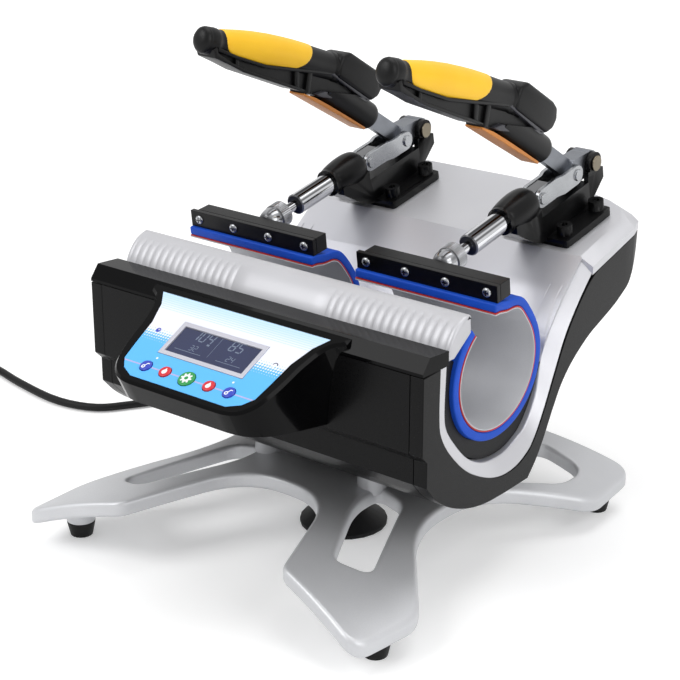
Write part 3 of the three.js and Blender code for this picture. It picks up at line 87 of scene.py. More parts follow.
# Panel: X across it, Y up it, Z out of it, and the row of keys on it in millimetres
PANEL = Matrix.Translation((0, BODY_Y - 0.096, 0.202218)) @ Matrix.Rotation(math.radians(26.4), 4, "X")
KEY_ROW = -67.5

# Radius at which a round form closes on its axis
CLOSED = 0.02


def link(name, mesh):
    piece = bpy.data.objects.new(name, mesh)
    scene.collection.objects.link(piece)
    return piece


# Camera
LENS, SENSOR = 95.42, 36
CAMERA_PLACE = (0.7860, -0.9681 + BODY_Y, 0.6322)
CAMERA_TURN = (math.radians(69), 0, math.radians(38.83))


def make_camera():
    data = bpy.data.cameras.new("camera")
    data.sensor_fit = "HORIZONTAL"
    data.sensor_width = SENSOR
    data.lens = LENS
    data.clip_start = 0.05
    camera = link("camera", data)
    camera.location = CAMERA_PLACE
    camera.rotation_euler = CAMERA_TURN
    scene.camera = camera


make_camera()


# Materials
def rgb(red, green, blue):
    def linear(value):
        share = value / 255
        return share / 12.92 if share <= 0.04045 else ((share + 0.055) / 1.055) ** 2.4

    return (linear(red), linear(green), linear(blue), 1.0)


def scaled(colour, factor):
    return tuple(min(1.0, channel * factor) for channel in colour[:3]) + (1.0,)


def feed(node, values):
    """Sets inputs of a node, each to a wire, to another node's output or to a plain value."""
    for key, value in values.items():
        source = getattr(value, "socket", value)
        if isinstance(source, bpy.types.NodeSocket):
            node.id_data.links.new(source, node.inputs[key])
        else:
            node.inputs[key].default_value = source


class Wire:
    """A number in a node tree, so that sums of nodes read as sums."""

    def __init__(self, tree, socket):
        self.tree = tree
        self.socket = socket

    def math(self, kind, *others):
        node = self.tree.nodes.new("ShaderNodeMath")
        node.operation = kind
        feed(node, dict(enumerate((self, *others))))
        return Wire(self.tree, node.outputs[0])

    def __add__(self, other):
        return self.math("ADD", other)

    def __sub__(self, other):
        return self.math("SUBTRACT", other)

    def __mul__(self, other):
        return self.math("MULTIPLY", other)

    def __truediv__(self, other):
        return self.math("DIVIDE", other)

    def rest(self):
        return self * -1 + 1

    def fract(self):
        return self.math("FRACT")

    def above(self, other):
        return self.math("GREATER_THAN", other)

    def below(self, other):
        return self.math("LESS_THAN", other)

    def ramp(self, low, high):
        node = self.tree.nodes.new("ShaderNodeMapRange")
        node.interpolation_type = "SMOOTHSTEP"
        feed(node, {"Value": self, "From Min": low, "From Max": high})
        return Wire(self.tree, node.outputs["Result"])


def mixed(tree, share, first, second):
    """A colour between two others."""
    node = tree.nodes.new("ShaderNodeMix")
    node.data_type = "RGBA"
    places = {s.name: i for i, s in enumerate(node.inputs) if s.enabled}
    feed(node, {places["Factor"]: share, places["A"]: first, places["B"]: second})
    return [s for s in node.outputs if s.enabled][0]


def noise(tree, scale, detail=3, stretch=None):
    coord = tree.nodes.new("ShaderNodeTexCoord")
    source = coord.outputs["Object"]
    if stretch:
        mapping = tree.nodes.new("ShaderNodeMapping")
        feed(mapping, {"Vector": source, "Scale": stretch})
        source = mapping.outputs["Vector"]
    node = tree.nodes.new("ShaderNodeTexNoise")
    feed(node, {"Vector": source, "Scale": scale, "Detail": detail})
    return Wire(tree, node.outputs["Fac"])


def parts_of(tree, kind):
    """The X, Y and Z of a texture coordinate."""
    coord = tree.nodes.new("ShaderNodeTexCoord")
    split = tree.nodes.new("ShaderNodeSeparateXYZ")
    feed(split, {0: coord.outputs[kind]})
    return [Wire(tree, split.outputs[name]) for name in "XYZ"]


def blank(name):
    found = bpy.data.materials.new(name)
    found.use_nodes = True
    return found, found.node_tree, found.node_tree.nodes["Principled BSDF"]


def surface(name, colour, rough, metal=0.0, patch=30, spread=0.12, grain=1500, relief=0.15, depth=0.0001,
            rough_spread=0.12, coat=0.0, coat_rough=0.05, stretch=None, specular=0.5):
    """A finish with broad patches of tone, a fine grain in its colour and gloss, and a fine relief."""
    found, tree, shader = blank(name)
    cloud = noise(tree, patch).ramp(0.25, 0.75)
    shade = mixed(tree, cloud, scaled(colour, 1 - spread), scaled(colour, 1 + spread))
    fine = noise(tree, grain, 2, stretch)
    shade = mixed(tree, fine.ramp(0.3, 0.7) * 0.5, shade, scaled(colour, 1 - spread))
    gloss = (fine - 0.5) * (rough_spread * 2) + rough
    bump = tree.nodes.new("ShaderNodeBump")
    feed(bump, {"Strength": relief, "Distance": depth, "Height": fine})
    feed(shader, {
        "Base Color": shade, "Roughness": gloss, "Normal": bump.outputs["Normal"], "Metallic": metal,
        "Coat Weight": coat, "Coat Roughness": coat_rough, "Specular IOR Level": specular,
    })
    found.diffuse_color = colour
    return found


# Finishes: colour, roughness, and what differs from a plain surface
PAINT = dict(patch=14, spread=0.03, grain=2200, relief=0.2)
KEY = dict(grain=2500, relief=0.05, coat=0.3)
POLISH = dict(metal=1.0, patch=60, spread=0.05, grain=1200, relief=0.05, rough_spread=0.06)
FINISHES = {
    "cast_base": ((204, 205, 208), 0.4, dict(
        metal=0.35, patch=18, spread=0.05, grain=1400, relief=0.35, depth=0.0002)),
    "silver_paint": ((201, 201, 205), 0.36, dict(PAINT, metal=0.45)),
    "cover_paint": ((194, 194, 198), 0.4, dict(PAINT, metal=0.2)),
    "black_shell": ((10, 10, 11), 0.3, dict(
        patch=10, spread=0.2, grain=1800, relief=0.12, coat=0.03, coat_rough=0.12, specular=0.1)),
    "dark_plate": ((16, 16, 18), 0.5, dict(patch=25, spread=0.15, grain=1800, relief=0.2, specular=0.18)),
    "gloss_hood": ((6, 6, 7), 0.12, dict(
        patch=8, spread=0.2, grain=900, relief=0.03, coat=0.06, coat_rough=0.02, rough_spread=0.03,
        specular=0.06)),
    "display_frame": ((196, 196, 206), 0.4, dict(metal=0.2, grain=2500, relief=0.1, spread=0.05)),
    "key_green": ((20, 150, 66), 0.3, KEY),
    "key_red": ((214, 22, 40), 0.3, KEY),
    "key_blue": ((38, 62, 190), 0.3, KEY),
    "black_plastic": ((10, 10, 11), 0.38, dict(
        spread=0.15, grain=2600, relief=0.25, depth=0.00012, specular=0.2)),
    "red_plastic": ((190, 24, 20), 0.3, dict(KEY, grain=2000)),
    "yellow_plastic": ((255, 198, 38), 0.42, dict(
        patch=25, spread=0.05, grain=1800, relief=0.3, specular=0.35)),
    "orange_plastic": ((206, 132, 62), 0.45, dict(
        patch=25, spread=0.08, grain=1800, relief=0.25, specular=0.3)),
    "blue_silicone": ((20, 78, 194), 0.55, dict(
        patch=45, spread=0.1, grain=1300, relief=0.5, depth=0.0002, specular=0.25)),
    "red_liner": ((196, 44, 40), 0.5, dict(patch=40, spread=0.08, relief=0.3)),
    "grey_silicone": ((190, 191, 195), 0.5, dict(spread=0.06, relief=0.35)),
    "black_steel": ((6, 6, 7), 0.34, dict(
        patch=40, spread=0.2, grain=2200, relief=0.3, depth=0.00012, coat=0.06, coat_rough=0.2,
        specular=0.16)),
    "zinc": ((168, 170, 173), 0.26, dict(
        metal=1.0, patch=60, spread=0.1, grain=900, relief=0.12, stretch=(1, 8, 1))),
    "bar_zinc": ((128, 131, 137), 0.36, dict(metal=1.0, patch=50, grain=900, stretch=(1, 8, 1))),
    "pin_brass": ((128, 120, 104), 0.34, dict(metal=1.0, patch=80, spread=0.1, relief=0.1)),
    # Bands on the handles are black plastic; this lighter grey is a painted highlight for their edges
    # catching the light.
    "band_edge": ((58, 58, 64), 0.36, dict(spread=0.1, grain=2600, relief=0.2, specular=0.4)),
    "black_rubber": ((14, 14, 15), 0.55, dict(
        patch=40, spread=0.15, grain=1800, relief=0.35, specular=0.25)),
    "white_print": ((240, 242, 246), 0.4, dict(grain=2500, relief=0.05, spread=0.02)),
    "display_marks": ((112, 124, 146), 0.4, dict(grain=2500, relief=0.05, spread=0.05)),
    "display_glass": ((22, 34, 76), 0.12, dict(
        spread=0.1, grain=900, relief=0.02, coat=0.3, coat_rough=0.03, rough_spread=0.04)),
}
looks = {name: surface(name, rgb(*colour), rough, **rest)
         for name, (colour, rough, rest) in FINISHES.items()}

# Printed panel, in millimetres down from its top edge
PALE_FADE = (2, 20)
LINE_PITCH, LINE_SHARE, LINES_END = 1.9, 0.3, 17
DOT_PITCH, DOT_REACH, DOTS_START, DOTS_FULL, DOTS_FADE = 2.3, 0.72, 32, 47, 15
WIRE_HALF = 0.55


def panel_print():
    """Pale blue lines at the top, white, a grid of dots into sky blue, and a thin line through the keys."""
    found, tree, shader = blank("panel_print")
    x, y = parts_of(tree, "Object")[:2]
    side, down = x * 1000, y * -1000
    pale, white, sky = rgb(198, 228, 252), rgb(238, 240, 252), rgb(84, 184, 252)
    colour = mixed(tree, down.ramp(*PALE_FADE), pale, white)
    lines = (down / LINE_PITCH).fract().below(LINE_SHARE) * down.below(LINES_END) * 0.55
    colour = mixed(tree, lines, colour, rgb(176, 216, 250))
    size = (down * -1 + DOTS_FULL) / DOTS_FADE
    cell_x = (side / DOT_PITCH).fract() - 0.5
    cell_y = (down / DOT_PITCH).fract() - 0.5
    reach = (cell_x * cell_x + cell_y * cell_y).math("SQRT")
    white_dots = reach.below(size * DOT_REACH)
    colour = mixed(tree, down.above(DOTS_START) * white_dots.rest(), colour, sky)
    wire = (down + KEY_ROW).math("ABSOLUTE").below(WIRE_HALF)
    colour = mixed(tree, wire * 0.7, colour, rgb(206, 170, 206))
    speck = noise(tree, 2500, 2)
    colour = mixed(tree, speck * 0.05, colour, rgb(120, 160, 220))
    feed(shader, {"Base Color": colour, "Roughness": speck * 0.1 + 0.32, "Coat Weight": 0.3})
    found.diffuse_color = sky
    return found


def painted_reflection_chrome(name, colour, rough, dark, bands, end):
    """Polished metal with painted reflections: dark bands of a dim room painted along the clamp's axis, and
    painted shade on the end that faces forward.
    """
    found = surface(name, colour, rough, specular=0.1, **POLISH)
    tree = found.node_tree
    shader = tree.nodes["Principled BSDF"]
    x, y, z = parts_of(tree, "Normal")
    lift = z * math.cos(DECK_TILT) - y * math.sin(DECK_TILT)
    ahead = y * -math.cos(DECK_TILT) - z * math.sin(DECK_TILT)
    angle = x.math("ARCTAN2", lift) * math.degrees(1)
    low, high, weight = end
    front = ahead.ramp(low, high) * weight
    share = front
    for start, stop, soft, weight in bands:
        band = angle.ramp(start - soft, start + soft) * angle.ramp(stop - soft, stop + soft).rest() * weight
        share = share.math("MAXIMUM", band)
    bright = shader.inputs["Base Color"].links[0].from_socket
    feed(shader, {"Base Color": mixed(tree, share, bright, dark), "Metallic": front.rest()})
    return found


looks["panel_print"] = panel_print()
# Painted reflections on the chrome tube and nut: dark bands by angle round the clamp's axis, and painted
# shade on the end that faces forward.
looks["chrome_tube"] = painted_reflection_chrome("chrome_tube", rgb(222, 223, 226), 0.1, rgb(22, 22, 25), (
    (-2, 40, 5, 0.95), (50, 61, 4, 0.75), (118, 150, 14, 0.7)), (0.5, 0.8, 0.97))
looks["chrome_nut"] = painted_reflection_chrome("chrome_nut", rgb(176, 177, 180), 0.16, rgb(30, 30, 33), (
    (4, 30, 8, 0.7), (50, 64, 6, 0.4), (108, 146, 14, 0.75)), (0.2, 0.8, 0.85))


def slot_of(node):
    for entry in frame["record"]["subparts"]:
        if entry["node"] == node:
            return entry["material_slot"]
    raise ValueError(node)


def paint(piece, look):
    piece.data.materials.clear()
    piece.data.materials.append(looks[look])


# Meshes
def angles(count):
    return [math.tau * k / count for k in range(count)]


def to_mesh(work, name, angle=None):
    """Ends a form as a mesh. With an angle its faces are smooth, and only sharper edges stay."""
    mesh = bpy.data.meshes.new(name)
    work.to_mesh(mesh)
    work.free()
    if angle:
        mesh.polygons.foreach_set("use_smooth", [True] * len(mesh.polygons))
        mesh.set_sharp_from_angle(angle=math.radians(angle))
        mesh.update()
    return mesh


def add_part(work, part):
    """Puts one form into another."""
    mesh = to_mesh(part, "part")
    work.from_mesh(mesh)
    bpy.data.meshes.remove(mesh)


def add_grid(work, rows, closed=False):
    """Faces between rows of points, all of one length."""
    made = [[work.verts.new(p) for p in row] for row in rows]
    for low, high in zip(made, made[1:]):
        count = len(low)
        for i in range(count if closed else count - 1):
            j = (i + 1) % count
            work.faces.new((low[i], low[j], high[j], high[i]))
    return made


def add_tube(work, rows):
    """Closed rows with a flat face at each end, and every face turned outwards."""
    made = add_grid(work, rows, closed=True)
    work.faces.new(made[0])
    work.faces.new(made[-1][::-1])
    bmesh.ops.recalc_face_normals(work, faces=work.faces)


def bevel(work, edges, offset, segments, kind="OFFSET"):
    bmesh.ops.bevel(work, geom=edges, offset=offset, offset_type=kind, segments=segments, profile=0.5,
                    affect="EDGES", clamp_overlap=True)


def round_rims(work, sharper, offset, segments=3):
    """Rounds the edges that are sharper than an angle in degrees."""
    edges = [e for e in work.edges if e.calc_face_angle(0) > math.radians(sharper)]
    bevel(work, edges, offset, segments)


def weight_normals(piece):
    piece.modifiers.new("normals", "WEIGHTED_NORMAL").keep_sharp = True


def form_piece(work, name, look, angle=40, side=None):
    """Turns a form in millimetres, in the body's frame or in that of a station, into a piece."""
    across = SIDES[side] * STATION_X if side else 0
    place = Matrix.Translation((across, BODY_Y, 0)) @ Matrix.Scale(0.001, 4)
    bmesh.ops.transform(work, matrix=place, verts=work.verts)
    bmesh.ops.recalc_face_normals(work, faces=work.faces)
    piece = link(name, to_mesh(work, name, angle))
    paint(piece, look)
    return piece


def stand_in(piece, node):
    """Puts a piece in the place of a CAD node, on that node's body."""
    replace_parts(piece, node)
    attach(piece, nodes[node]["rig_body"])


# Nodes whose curves have coarse facets: whether only edges across the press count, and the sharpest
FACETS = {
    "side_cover": (True, 40), "end_plate": (True, 40), "lower_housing": (True, 40),
    "clamp_bracket": (False, 46),
}
FACET_LEAST = math.radians(3)
FACET_SHARE, FACET_STEPS = 44, 4


def runs_across(edge):
    return abs((edge.verts[1].co - edge.verts[0].co).normalized().x) > 0.4


def round_facets(work, across_only, sharpest):
    """Turns the coarse facets of curved outlines into arcs between the middles of their sides."""
    edges = [e for e in work.edges if FACET_LEAST < e.calc_face_angle(0) < math.radians(sharpest)
             and (runs_across(e) or not across_only)]
    bevel(work, edges, FACET_SHARE, FACET_STEPS, "PERCENT")


def dress(node, edge, look=None, slot=None):
    """A finer copy of a CAD node: its flat facets joined and its edges rounded, in millimetres."""
    work = bmesh.new()
    work.from_mesh(nodes[node].data)
    bmesh.ops.remove_doubles(work, verts=work.verts, dist=0.00002)
    bmesh.ops.dissolve_limit(work, angle_limit=math.radians(0.8), verts=work.verts, edges=work.edges)
    family = node.replace("_left", "").replace("_right", "")
    if family in FACETS:
        round_facets(work, *FACETS[family])
    round_rims(work, 28, edge / 1000, 2)
    name = f"{node}_finish"
    piece = link(name, to_mesh(work, name, 38))
    paint(piece, look or slot_of(node))
    weight_normals(piece)
    stand_in(piece, node)
    return piece


# Cord: the route of the part, then a coil of two layers and a straight end to the plug
ROUTE = [
    (-20, 104.4, 110.6), (-20, 110.1, 106.6), (-20.5, 124, 93), (-23, 144, 57), (-31, 166, 20),
    (-50, 188, 5.6), (-92, 206, 4.2), (-150, 206, 4), (-212, 169, 4), (-256, 112, 4), (-284, 66, 4),
    (-303, 42, 4), (-339, 31, 4), (-401, 38, 4), (-441, 47, 4), (-475, 50, 4), (-499.5, 50, 4),
]
COIL_START = (-500, 50)
COIL_OUTER, COIL_PITCH, COIL_LAYER = 48, 8.9, 7.6
COIL_TURNS, COIL_CLIMB = 1.75, 0.5
LEAD, LEAD_STEPS = 42, 4
CORD_RADIUS = 3.5
ROUTE_STEPS, TURN_STEPS = 4, 24


def smooth_path(points, steps):
    """Points on a centripetal Catmull-Rom curve through the given ones."""
    points = [Vector(p) for p in points]
    ends = [points[0] * 2 - points[1], *points, points[-1] * 2 - points[-2]]
    found = []
    for i in range(1, len(ends) - 2):
        p0, p1, p2, p3 = ends[i - 1:i + 3]
        t0 = 0.0
        t1 = t0 + (p1 - p0).length ** 0.5
        t2 = t1 + (p2 - p1).length ** 0.5
        t3 = t2 + (p3 - p2).length ** 0.5
        for k in range(steps):
            t = t1 + (t2 - t1) * k / steps
            a1 = p0 * ((t1 - t) / (t1 - t0)) + p1 * ((t - t0) / (t1 - t0))
            a2 = p1 * ((t2 - t) / (t2 - t1)) + p2 * ((t - t1) / (t2 - t1))
            a3 = p2 * ((t3 - t) / (t3 - t2)) + p3 * ((t - t2) / (t3 - t2))
            b1 = a1 * ((t2 - t) / (t2 - t0)) + a2 * ((t - t0) / (t2 - t0))
            b2 = a2 * ((t3 - t) / (t3 - t1)) + a3 * ((t - t1) / (t3 - t1))
            found.append(b1 * ((t2 - t) / (t2 - t1)) + b2 * ((t - t1) / (t2 - t1)))
    found.append(points[-1])
    return found


def coil_point(turn):
    """Inwards on the floor, up to the second layer, and outwards on it."""
    share = min(max((turn - COIL_TURNS) / COIL_CLIMB, 0), 1)
    climb = share * share * (3 - 2 * share)
    inwards = min(turn, COIL_TURNS) - max(turn - COIL_TURNS - COIL_CLIMB, 0)
    radius = COIL_OUTER - inwards * COIL_PITCH
    angle = math.pi / 2 + turn * math.tau
    x = COIL_START[0] + radius * math.cos(angle)
    y = COIL_START[1] - COIL_OUTER + radius * math.sin(angle)
    return Vector((x, y, ROUTE[-1][2] + climb * COIL_LAYER))


def add_splines(curve, lines, closed):
    for line in lines:
        spline = curve.splines.new("POLY")
        spline.points.add(len(line) - 1)
        for point, place in zip(spline.points, line):
            point.co = (*place, 1)
        spline.use_cyclic_u = closed
        spline.use_smooth = True


def make_cord():
    points = smooth_path(ROUTE, ROUTE_STEPS)[:-1]
    turns = COIL_TURNS * 2 + COIL_CLIMB
    steps = round(turns * TURN_STEPS)
    points += [coil_point(turns * i / steps) for i in range(steps + 1)]
    end = points[-1]
    points += [end - Vector((LEAD * k / LEAD_STEPS, 0, 0)) for k in range(1, LEAD_STEPS + 1)]
    points = [(p + Vector((0, BODY_Y * 1000, 0))) / 1000 for p in points]
    curve = bpy.data.curves.new("cord", "CURVE")
    curve.dimensions = "3D"
    curve.bevel_depth = CORD_RADIUS / 1000
    curve.bevel_resolution = 4
    curve.use_fill_caps = True
    add_splines(curve, [points], closed=False)
    piece = link("cord", curve)
    paint(piece, "black_rubber")
    length = sum((b - a).length for a, b in zip(points, points[1:]))
    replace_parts(piece, "power_cord", "cord_coil")
    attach(piece, "stand_body")
    plug = dress("plug", 0.8)
    relief = dress("strain_relief", 0.5)


make_cord()

# Pieces that keep the part's own shape: the rounding of their edges
EDGES = {
    "suction_cup": 0.4, "lower_housing": 0.5, "rear_shell": 2.0, "console_hood": 1.2, "display_frame": 0.4,
    "display_glass": 0.15, "power_switch": 0.5, "power_rocker": 0.4, "fuse_holder": 0.4,
}
SIDE_EDGES = {
    "foot_front": 0.5, "foot_rear": 0.5, "side_cover": 0.6, "end_plate": 0.4, "bar_block": 0.5,
    "bar_strip": 0.25, "clamp_bracket": 0.5, "pivot_pin": 0.4, "lever": 0.4, "link": 0.35, "plunger": 0.4,
}
KEYS = ("middle", "left_inner", "right_inner", "left_outer", "right_outer")
KEY_EDGE = 0.2
# Nodes with a look of their own, and the slot that it stands for
OWN_LOOKS = {
    "plunger": ("chrome_tube", "chrome"), "lever": ("bar_zinc", "zinc"), "pivot_pin": ("pin_brass", "zinc"),
}


def dress_nodes():
    for node, edge in EDGES.items():
        dress(node, edge)
    for side in SIDES:
        for family, edge in SIDE_EDGES.items():
            dress(f"{family}_{side}", edge, *OWN_LOOKS.get(family, ()))
    for key in KEYS:
        dress(f"key_{key}", KEY_EDGE)


dress_nodes()

# Handles: the grip's places along the body, with its height and radius there
GRIP_TILT = math.radians(16.5)
GRIP_FLAT = 0.88
GRIP_RUN = [
    (-48.6, 375.4, 1.6), (-48.3, 375.3, 5.2), (-47.2, 375.0, 7.8), (-45.4, 374.5, 9.3), (-43.4, 373.9, 9.9),
    (-42.6, 373.7, 9.6), (-41.8, 373.4, 9.9), (-36, 371.8, 10.0), (-34, 371.2, 9.8), (-33, 370.9, 9.2),
    (-30, 370.1, 9.1), (-22, 367.8, 9.9), (-10, 364.4, 11.1), (4, 360.3, 12.1), (20, 355.8, 12.5),
    (35, 351.3, 12.5), (49, 346.9, 12.4), (60, 343.2, 12.2), (68, 340.4, 12.0), (78, 336.8, 11.8),
    (92, 331.9, 11.6), (93.4, 331.4, 11.7), (94.2, 331.1, 12.1), (103, 327.9, 12.2), (103.6, 327.7, 11.8),
    (104.2, 327.5, 12.4), (107, 326.5, 12.9), (110, 325.4, 12.9), (111, 325.0, 12.4), (120, 321.7, 12.0),
]
# Yellow insert: its outline from the side, and how it is laid on the grip
INSERT = [
    (-28.6, 370.5), (-26.0, 363.8), (-17, 357.2), (-6, 352.0), (14, 345.4), (36, 340.0), (48, 339.0),
    (58, 341.0), (66, 347.0), (73, 357), (60, 374), (0, 392), (-16, 391), (-26, 380),
]
INSERT_HALF = math.radians(148)
INSERT_PROUD, INSERT_SUNK, INSERT_RIM, INSERT_DEEP = 0.45, 0.9, 1.5, -2.0
INSERT_COLUMNS, INSERT_ROWS, COLUMN_REACH = 96, 48, 1.2
INSERT_SCAN = [-44 + 0.25 * i for i in range(540)]
# Slabs under the grip: half width, rounding, steps of the rounding, outline
HANDLE_SLABS = [
    (5.4, 0, 3, [
        (-40, 366), (-38, 361.2), (-26, 354.8), (-12, 347.3), (20, 334.4), (50, 322.6), (80, 311),
        (118, 288), (128, 284), (138, 299), (118, 322), (90, 332), (30, 350), (-30, 368)]),
    (9.0, 0.6, 3, [
        (-43, 368), (-41, 361.4), (-26, 353.9), (-12, 346.4), (20, 333.6), (50, 321.6), (56.5, 320.0),
        (56.5, 321.2), (51, 323.8), (21, 335.8), (-11, 348.6), (-25, 356.1), (-38, 364.4), (-39, 369)]),
    (9.4, 0.9, 3, [
        (-38, 365.6), (-18, 356.8), (14, 344.6), (41, 338.0), (66, 332.2), (91, 326.2), (91, 329),
        (66, 335), (41, 341), (14, 347.4), (-18, 359.5), (-38, 369)]),
    (8.2, 1.0, 3, [(-19.6, 351.4), (-15.8, 349.4), (-15.4, 357), (-18.4, 358)]),
    (8.2, 1.0, 3, [(46, 324.2), (51, 322.4), (51.8, 339), (47, 340)]),
    (8.2, 1.0, 3, [(58.4, 317.2), (63.5, 316.6), (67.5, 333), (62.5, 335)]),
    (11.5, 3.0, 4, [
        (96, 333), (101, 340.6), (110.4, 341.4), (145.2, 320.6), (150.8, 315.0), (150.4, 306.0),
        (145.4, 300.2), (136.9, 297.8), (94, 324.6)]),
]
# Bands across the handle, in the lighter grey of a painted highlight on their edges.
BAND_SLABS = [
    (9.6, 0.8, 3, [(131, 298.8), (137, 299.8), (93, 328.5), (88, 327.4)]),
    (9.6, 0.8, 3, [(70, 315.2), (76, 311.8), (134, 297.2), (137, 299.8), (80, 315.8)]),
]
STRIP_SLABS = [
    (7.6, 0.5, 3, [
        (57.6, 317.9), (72, 311.8), (86, 304.2), (110, 290.4), (131, 278), (133.4, 276.4), (131.6, 275.2),
        (95, 295.4), (57.4, 316.4)]),
]
# Leg over the lever's bar: radius and place along it, its frame in the clamp's, and the planes that end it
LEG_RUN = [
    (0.0, -118), (11.4, -118), (11.5, -54), (11.4, -51.5), (10.9, -50), (9.9, -49.2), (8.6, -49),
    (0.0, -49),
]
LEG_FRAME = Matrix.Translation((0, 52, 36.5)) @ Matrix.Rotation(math.radians(-42.7), 4, "X")
LEG_CUTS = [((130, 303), (80, 316)), ((80, 316), (44, 324))]


def closed_curve(points, steps):
    """Points on a smooth closed curve through the given ones."""
    found = []
    count = len(points)
    for i in range(count):
        p0, p1, p2, p3 = (Vector(points[(i + k - 1) % count]) for k in range(4))
        for k in range(steps):
            t = k / steps
            square = (p0 * 2 - p1 * 5 + p2 * 4 - p3) * t ** 2
            cube = (p1 * 3 - p0 - p2 * 3 + p3) * t ** 3
            found.append((p1 * 2 + (p2 - p0) * t + square + cube) / 2)
    return found


def run_at(y):
    """Height and radius of the grip at a place along it."""
    for (y0, z0, r0), (y1, z1, r1) in zip(GRIP_RUN, GRIP_RUN[1:]):
        if y <= y1 or (y1, z1, r1) == GRIP_RUN[-1]:
            share = (y - y0) / (y1 - y0)
            return z0 + (z1 - z0) * share, r0 + (r1 - r0) * share


def grip_point(y, angle, grow=0.0):
    """A point of the grip's skin, its angle counted from the top."""
    z, radius = run_at(y)
    radius += grow
    lift = radius * math.cos(angle)
    across = GRIP_FLAT * radius * math.sin(angle)
    return Vector((across, y + lift * math.sin(GRIP_TILT), z + lift * math.cos(GRIP_TILT)))


def is_inside(outline, point):
    found = False
    for (y0, z0), (y1, z1) in zip(outline, outline[1:] + outline[:1]):
        if (z0 > point.z) != (z1 > point.z) and point.y < y0 + (point.z - z0) * (y1 - y0) / (z1 - z0):
            found = not found
    return found


def add_slabs(work, slabs):
    """Flat parts across the station's middle, with rounded rims."""
    for half, edge, steps, outline in slabs:
        part = bmesh.new()
        add_tube(part, [[(x, y, z) for y, z in outline] for x in (-half, half)])
        if edge:
            round_rims(part, 25, edge, steps)
        add_part(work, part)


def add_leg(work):
    """The round leg over the lever's bar, cut where it meets the bands."""
    turn = CLAMP @ LEG_FRAME
    part = bmesh.new()
    add_grid(part, [[turn @ Vector((radius * math.sin(a), along, radius * math.cos(a))) for a in angles(48)]
                    for radius, along in LEG_RUN], closed=True)
    bmesh.ops.remove_doubles(part, verts=part.verts, dist=0.001)
    for (y0, z0), (y1, z1) in LEG_CUTS:
        everything = part.verts[:] + part.edges[:] + part.faces[:]
        normal = Vector((0, z1 - z0, y0 - y1)).normalized()
        cut = bmesh.ops.bisect_plane(part, geom=everything, plane_co=(0, y0, z0), plane_no=normal,
                                     clear_outer=True)
        ends = [g for g in cut["geom_cut"] if isinstance(g, bmesh.types.BMEdge)]
        bmesh.ops.edgeloop_fill(part, edges=ends)
    add_part(work, part)


def insert_columns():
    """Where the insert starts and ends along the grip, at angles round it."""
    oval = [tuple(p) for p in closed_curve(INSERT, 6)]
    found = []
    for k in range(INSERT_COLUMNS + 1):
        angle = INSERT_HALF * (2 * k / INSERT_COLUMNS - 1)
        hits = [y for y in INSERT_SCAN if is_inside(oval, grip_point(y, angle))]
        if hits:
            found.append((angle, hits[0], hits[-1]))
    return found


def add_insert(work):
    """The yellow insert: a skin just proud of the grip, with its rim let in."""
    columns = insert_columns()
    rows = []
    for n, (angle, start, end) in enumerate(columns):
        places = [start + (end - start) * i / INSERT_ROWS for i in range(INSERT_ROWS + 1)]
        side_rim = COLUMN_REACH * min(n, len(columns) - 1 - n)
        row = []
        for y in places:
            close = max(0.0, 1 - min(y - start, end - y, side_rim) / INSERT_RIM)
            row.append(grip_point(y, angle, INSERT_PROUD - INSERT_SUNK * close ** 2))
        first, last = (grip_point(y, angle, INSERT_DEEP) for y in (start, end))
        rows.append([first, *row, last])
        if n in (0, len(columns) - 1):
            sunk = [grip_point(y, angle, INSERT_DEEP) for y in places]
            rows.insert(0 if n == 0 else len(rows), [sunk[0], *sunk, sunk[-1]])
    add_grid(work, rows)
    bmesh.ops.remove_doubles(work, verts=work.verts, dist=0.005)


def make_handle(side):
    def carried(name, work, look, angle=40):
        piece = form_piece(work, name, look, angle, side)
        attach(piece, f"handle_{side}_body")
        return piece

    work = bmesh.new()
    add_tube(work, [[grip_point(place[0], a) for a in angles(56)] for place in GRIP_RUN])
    add_slabs(work, HANDLE_SLABS)
    add_leg(work)
    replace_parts(carried(f"handle_{side}_form", work, "black_plastic"), f"handle_{side}")

    # The bands get a painted highlight: lighter grey for edges that catch the light.
    work = bmesh.new()
    add_slabs(work, BAND_SLABS)
    carried(f"handle_{side}_bands", work, "band_edge")

    work = bmesh.new()
    add_insert(work)
    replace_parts(carried(f"grip_{side}_form", work, "yellow_plastic", 60), f"grip_{side}")

    work = bmesh.new()
    add_slabs(work, STRIP_SLABS)
    piece = carried(f"grip_strip_{side}_form", work, "orange_plastic")
    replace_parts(piece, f"grip_strip_{side}")


# Cross-head screws on the front strip of a pressure bar: radius and height of a head
SCREW_RUN = [(3.6, -0.4), (3.6, 0.5), (3.3, 1.0), (2.6, 1.4), (1.6, 1.65), (0.6, 1.72), (CLOSED, 1.72)]
SCREWS, SCREW_PITCH = 4, 35
SLOT_LONG, SLOT_WIDE, SLOT_DEEP, SLOT_MIDDLE = 4.0, 0.8, 0.24, 1.64
# Frame of the strip's front face, from the bar's middle
BAR_DEPTH, STRIP_THICK, STRIP_GAP = 12, 3.7, 0.3
STRIP_FACE = (Matrix.Translation((0, 10.2, 221)) @ Matrix.Rotation(math.radians(6.9), 4, "X")
              @ Matrix.Translation((0, -(BAR_DEPTH + STRIP_THICK + STRIP_GAP) / 2, 0)))


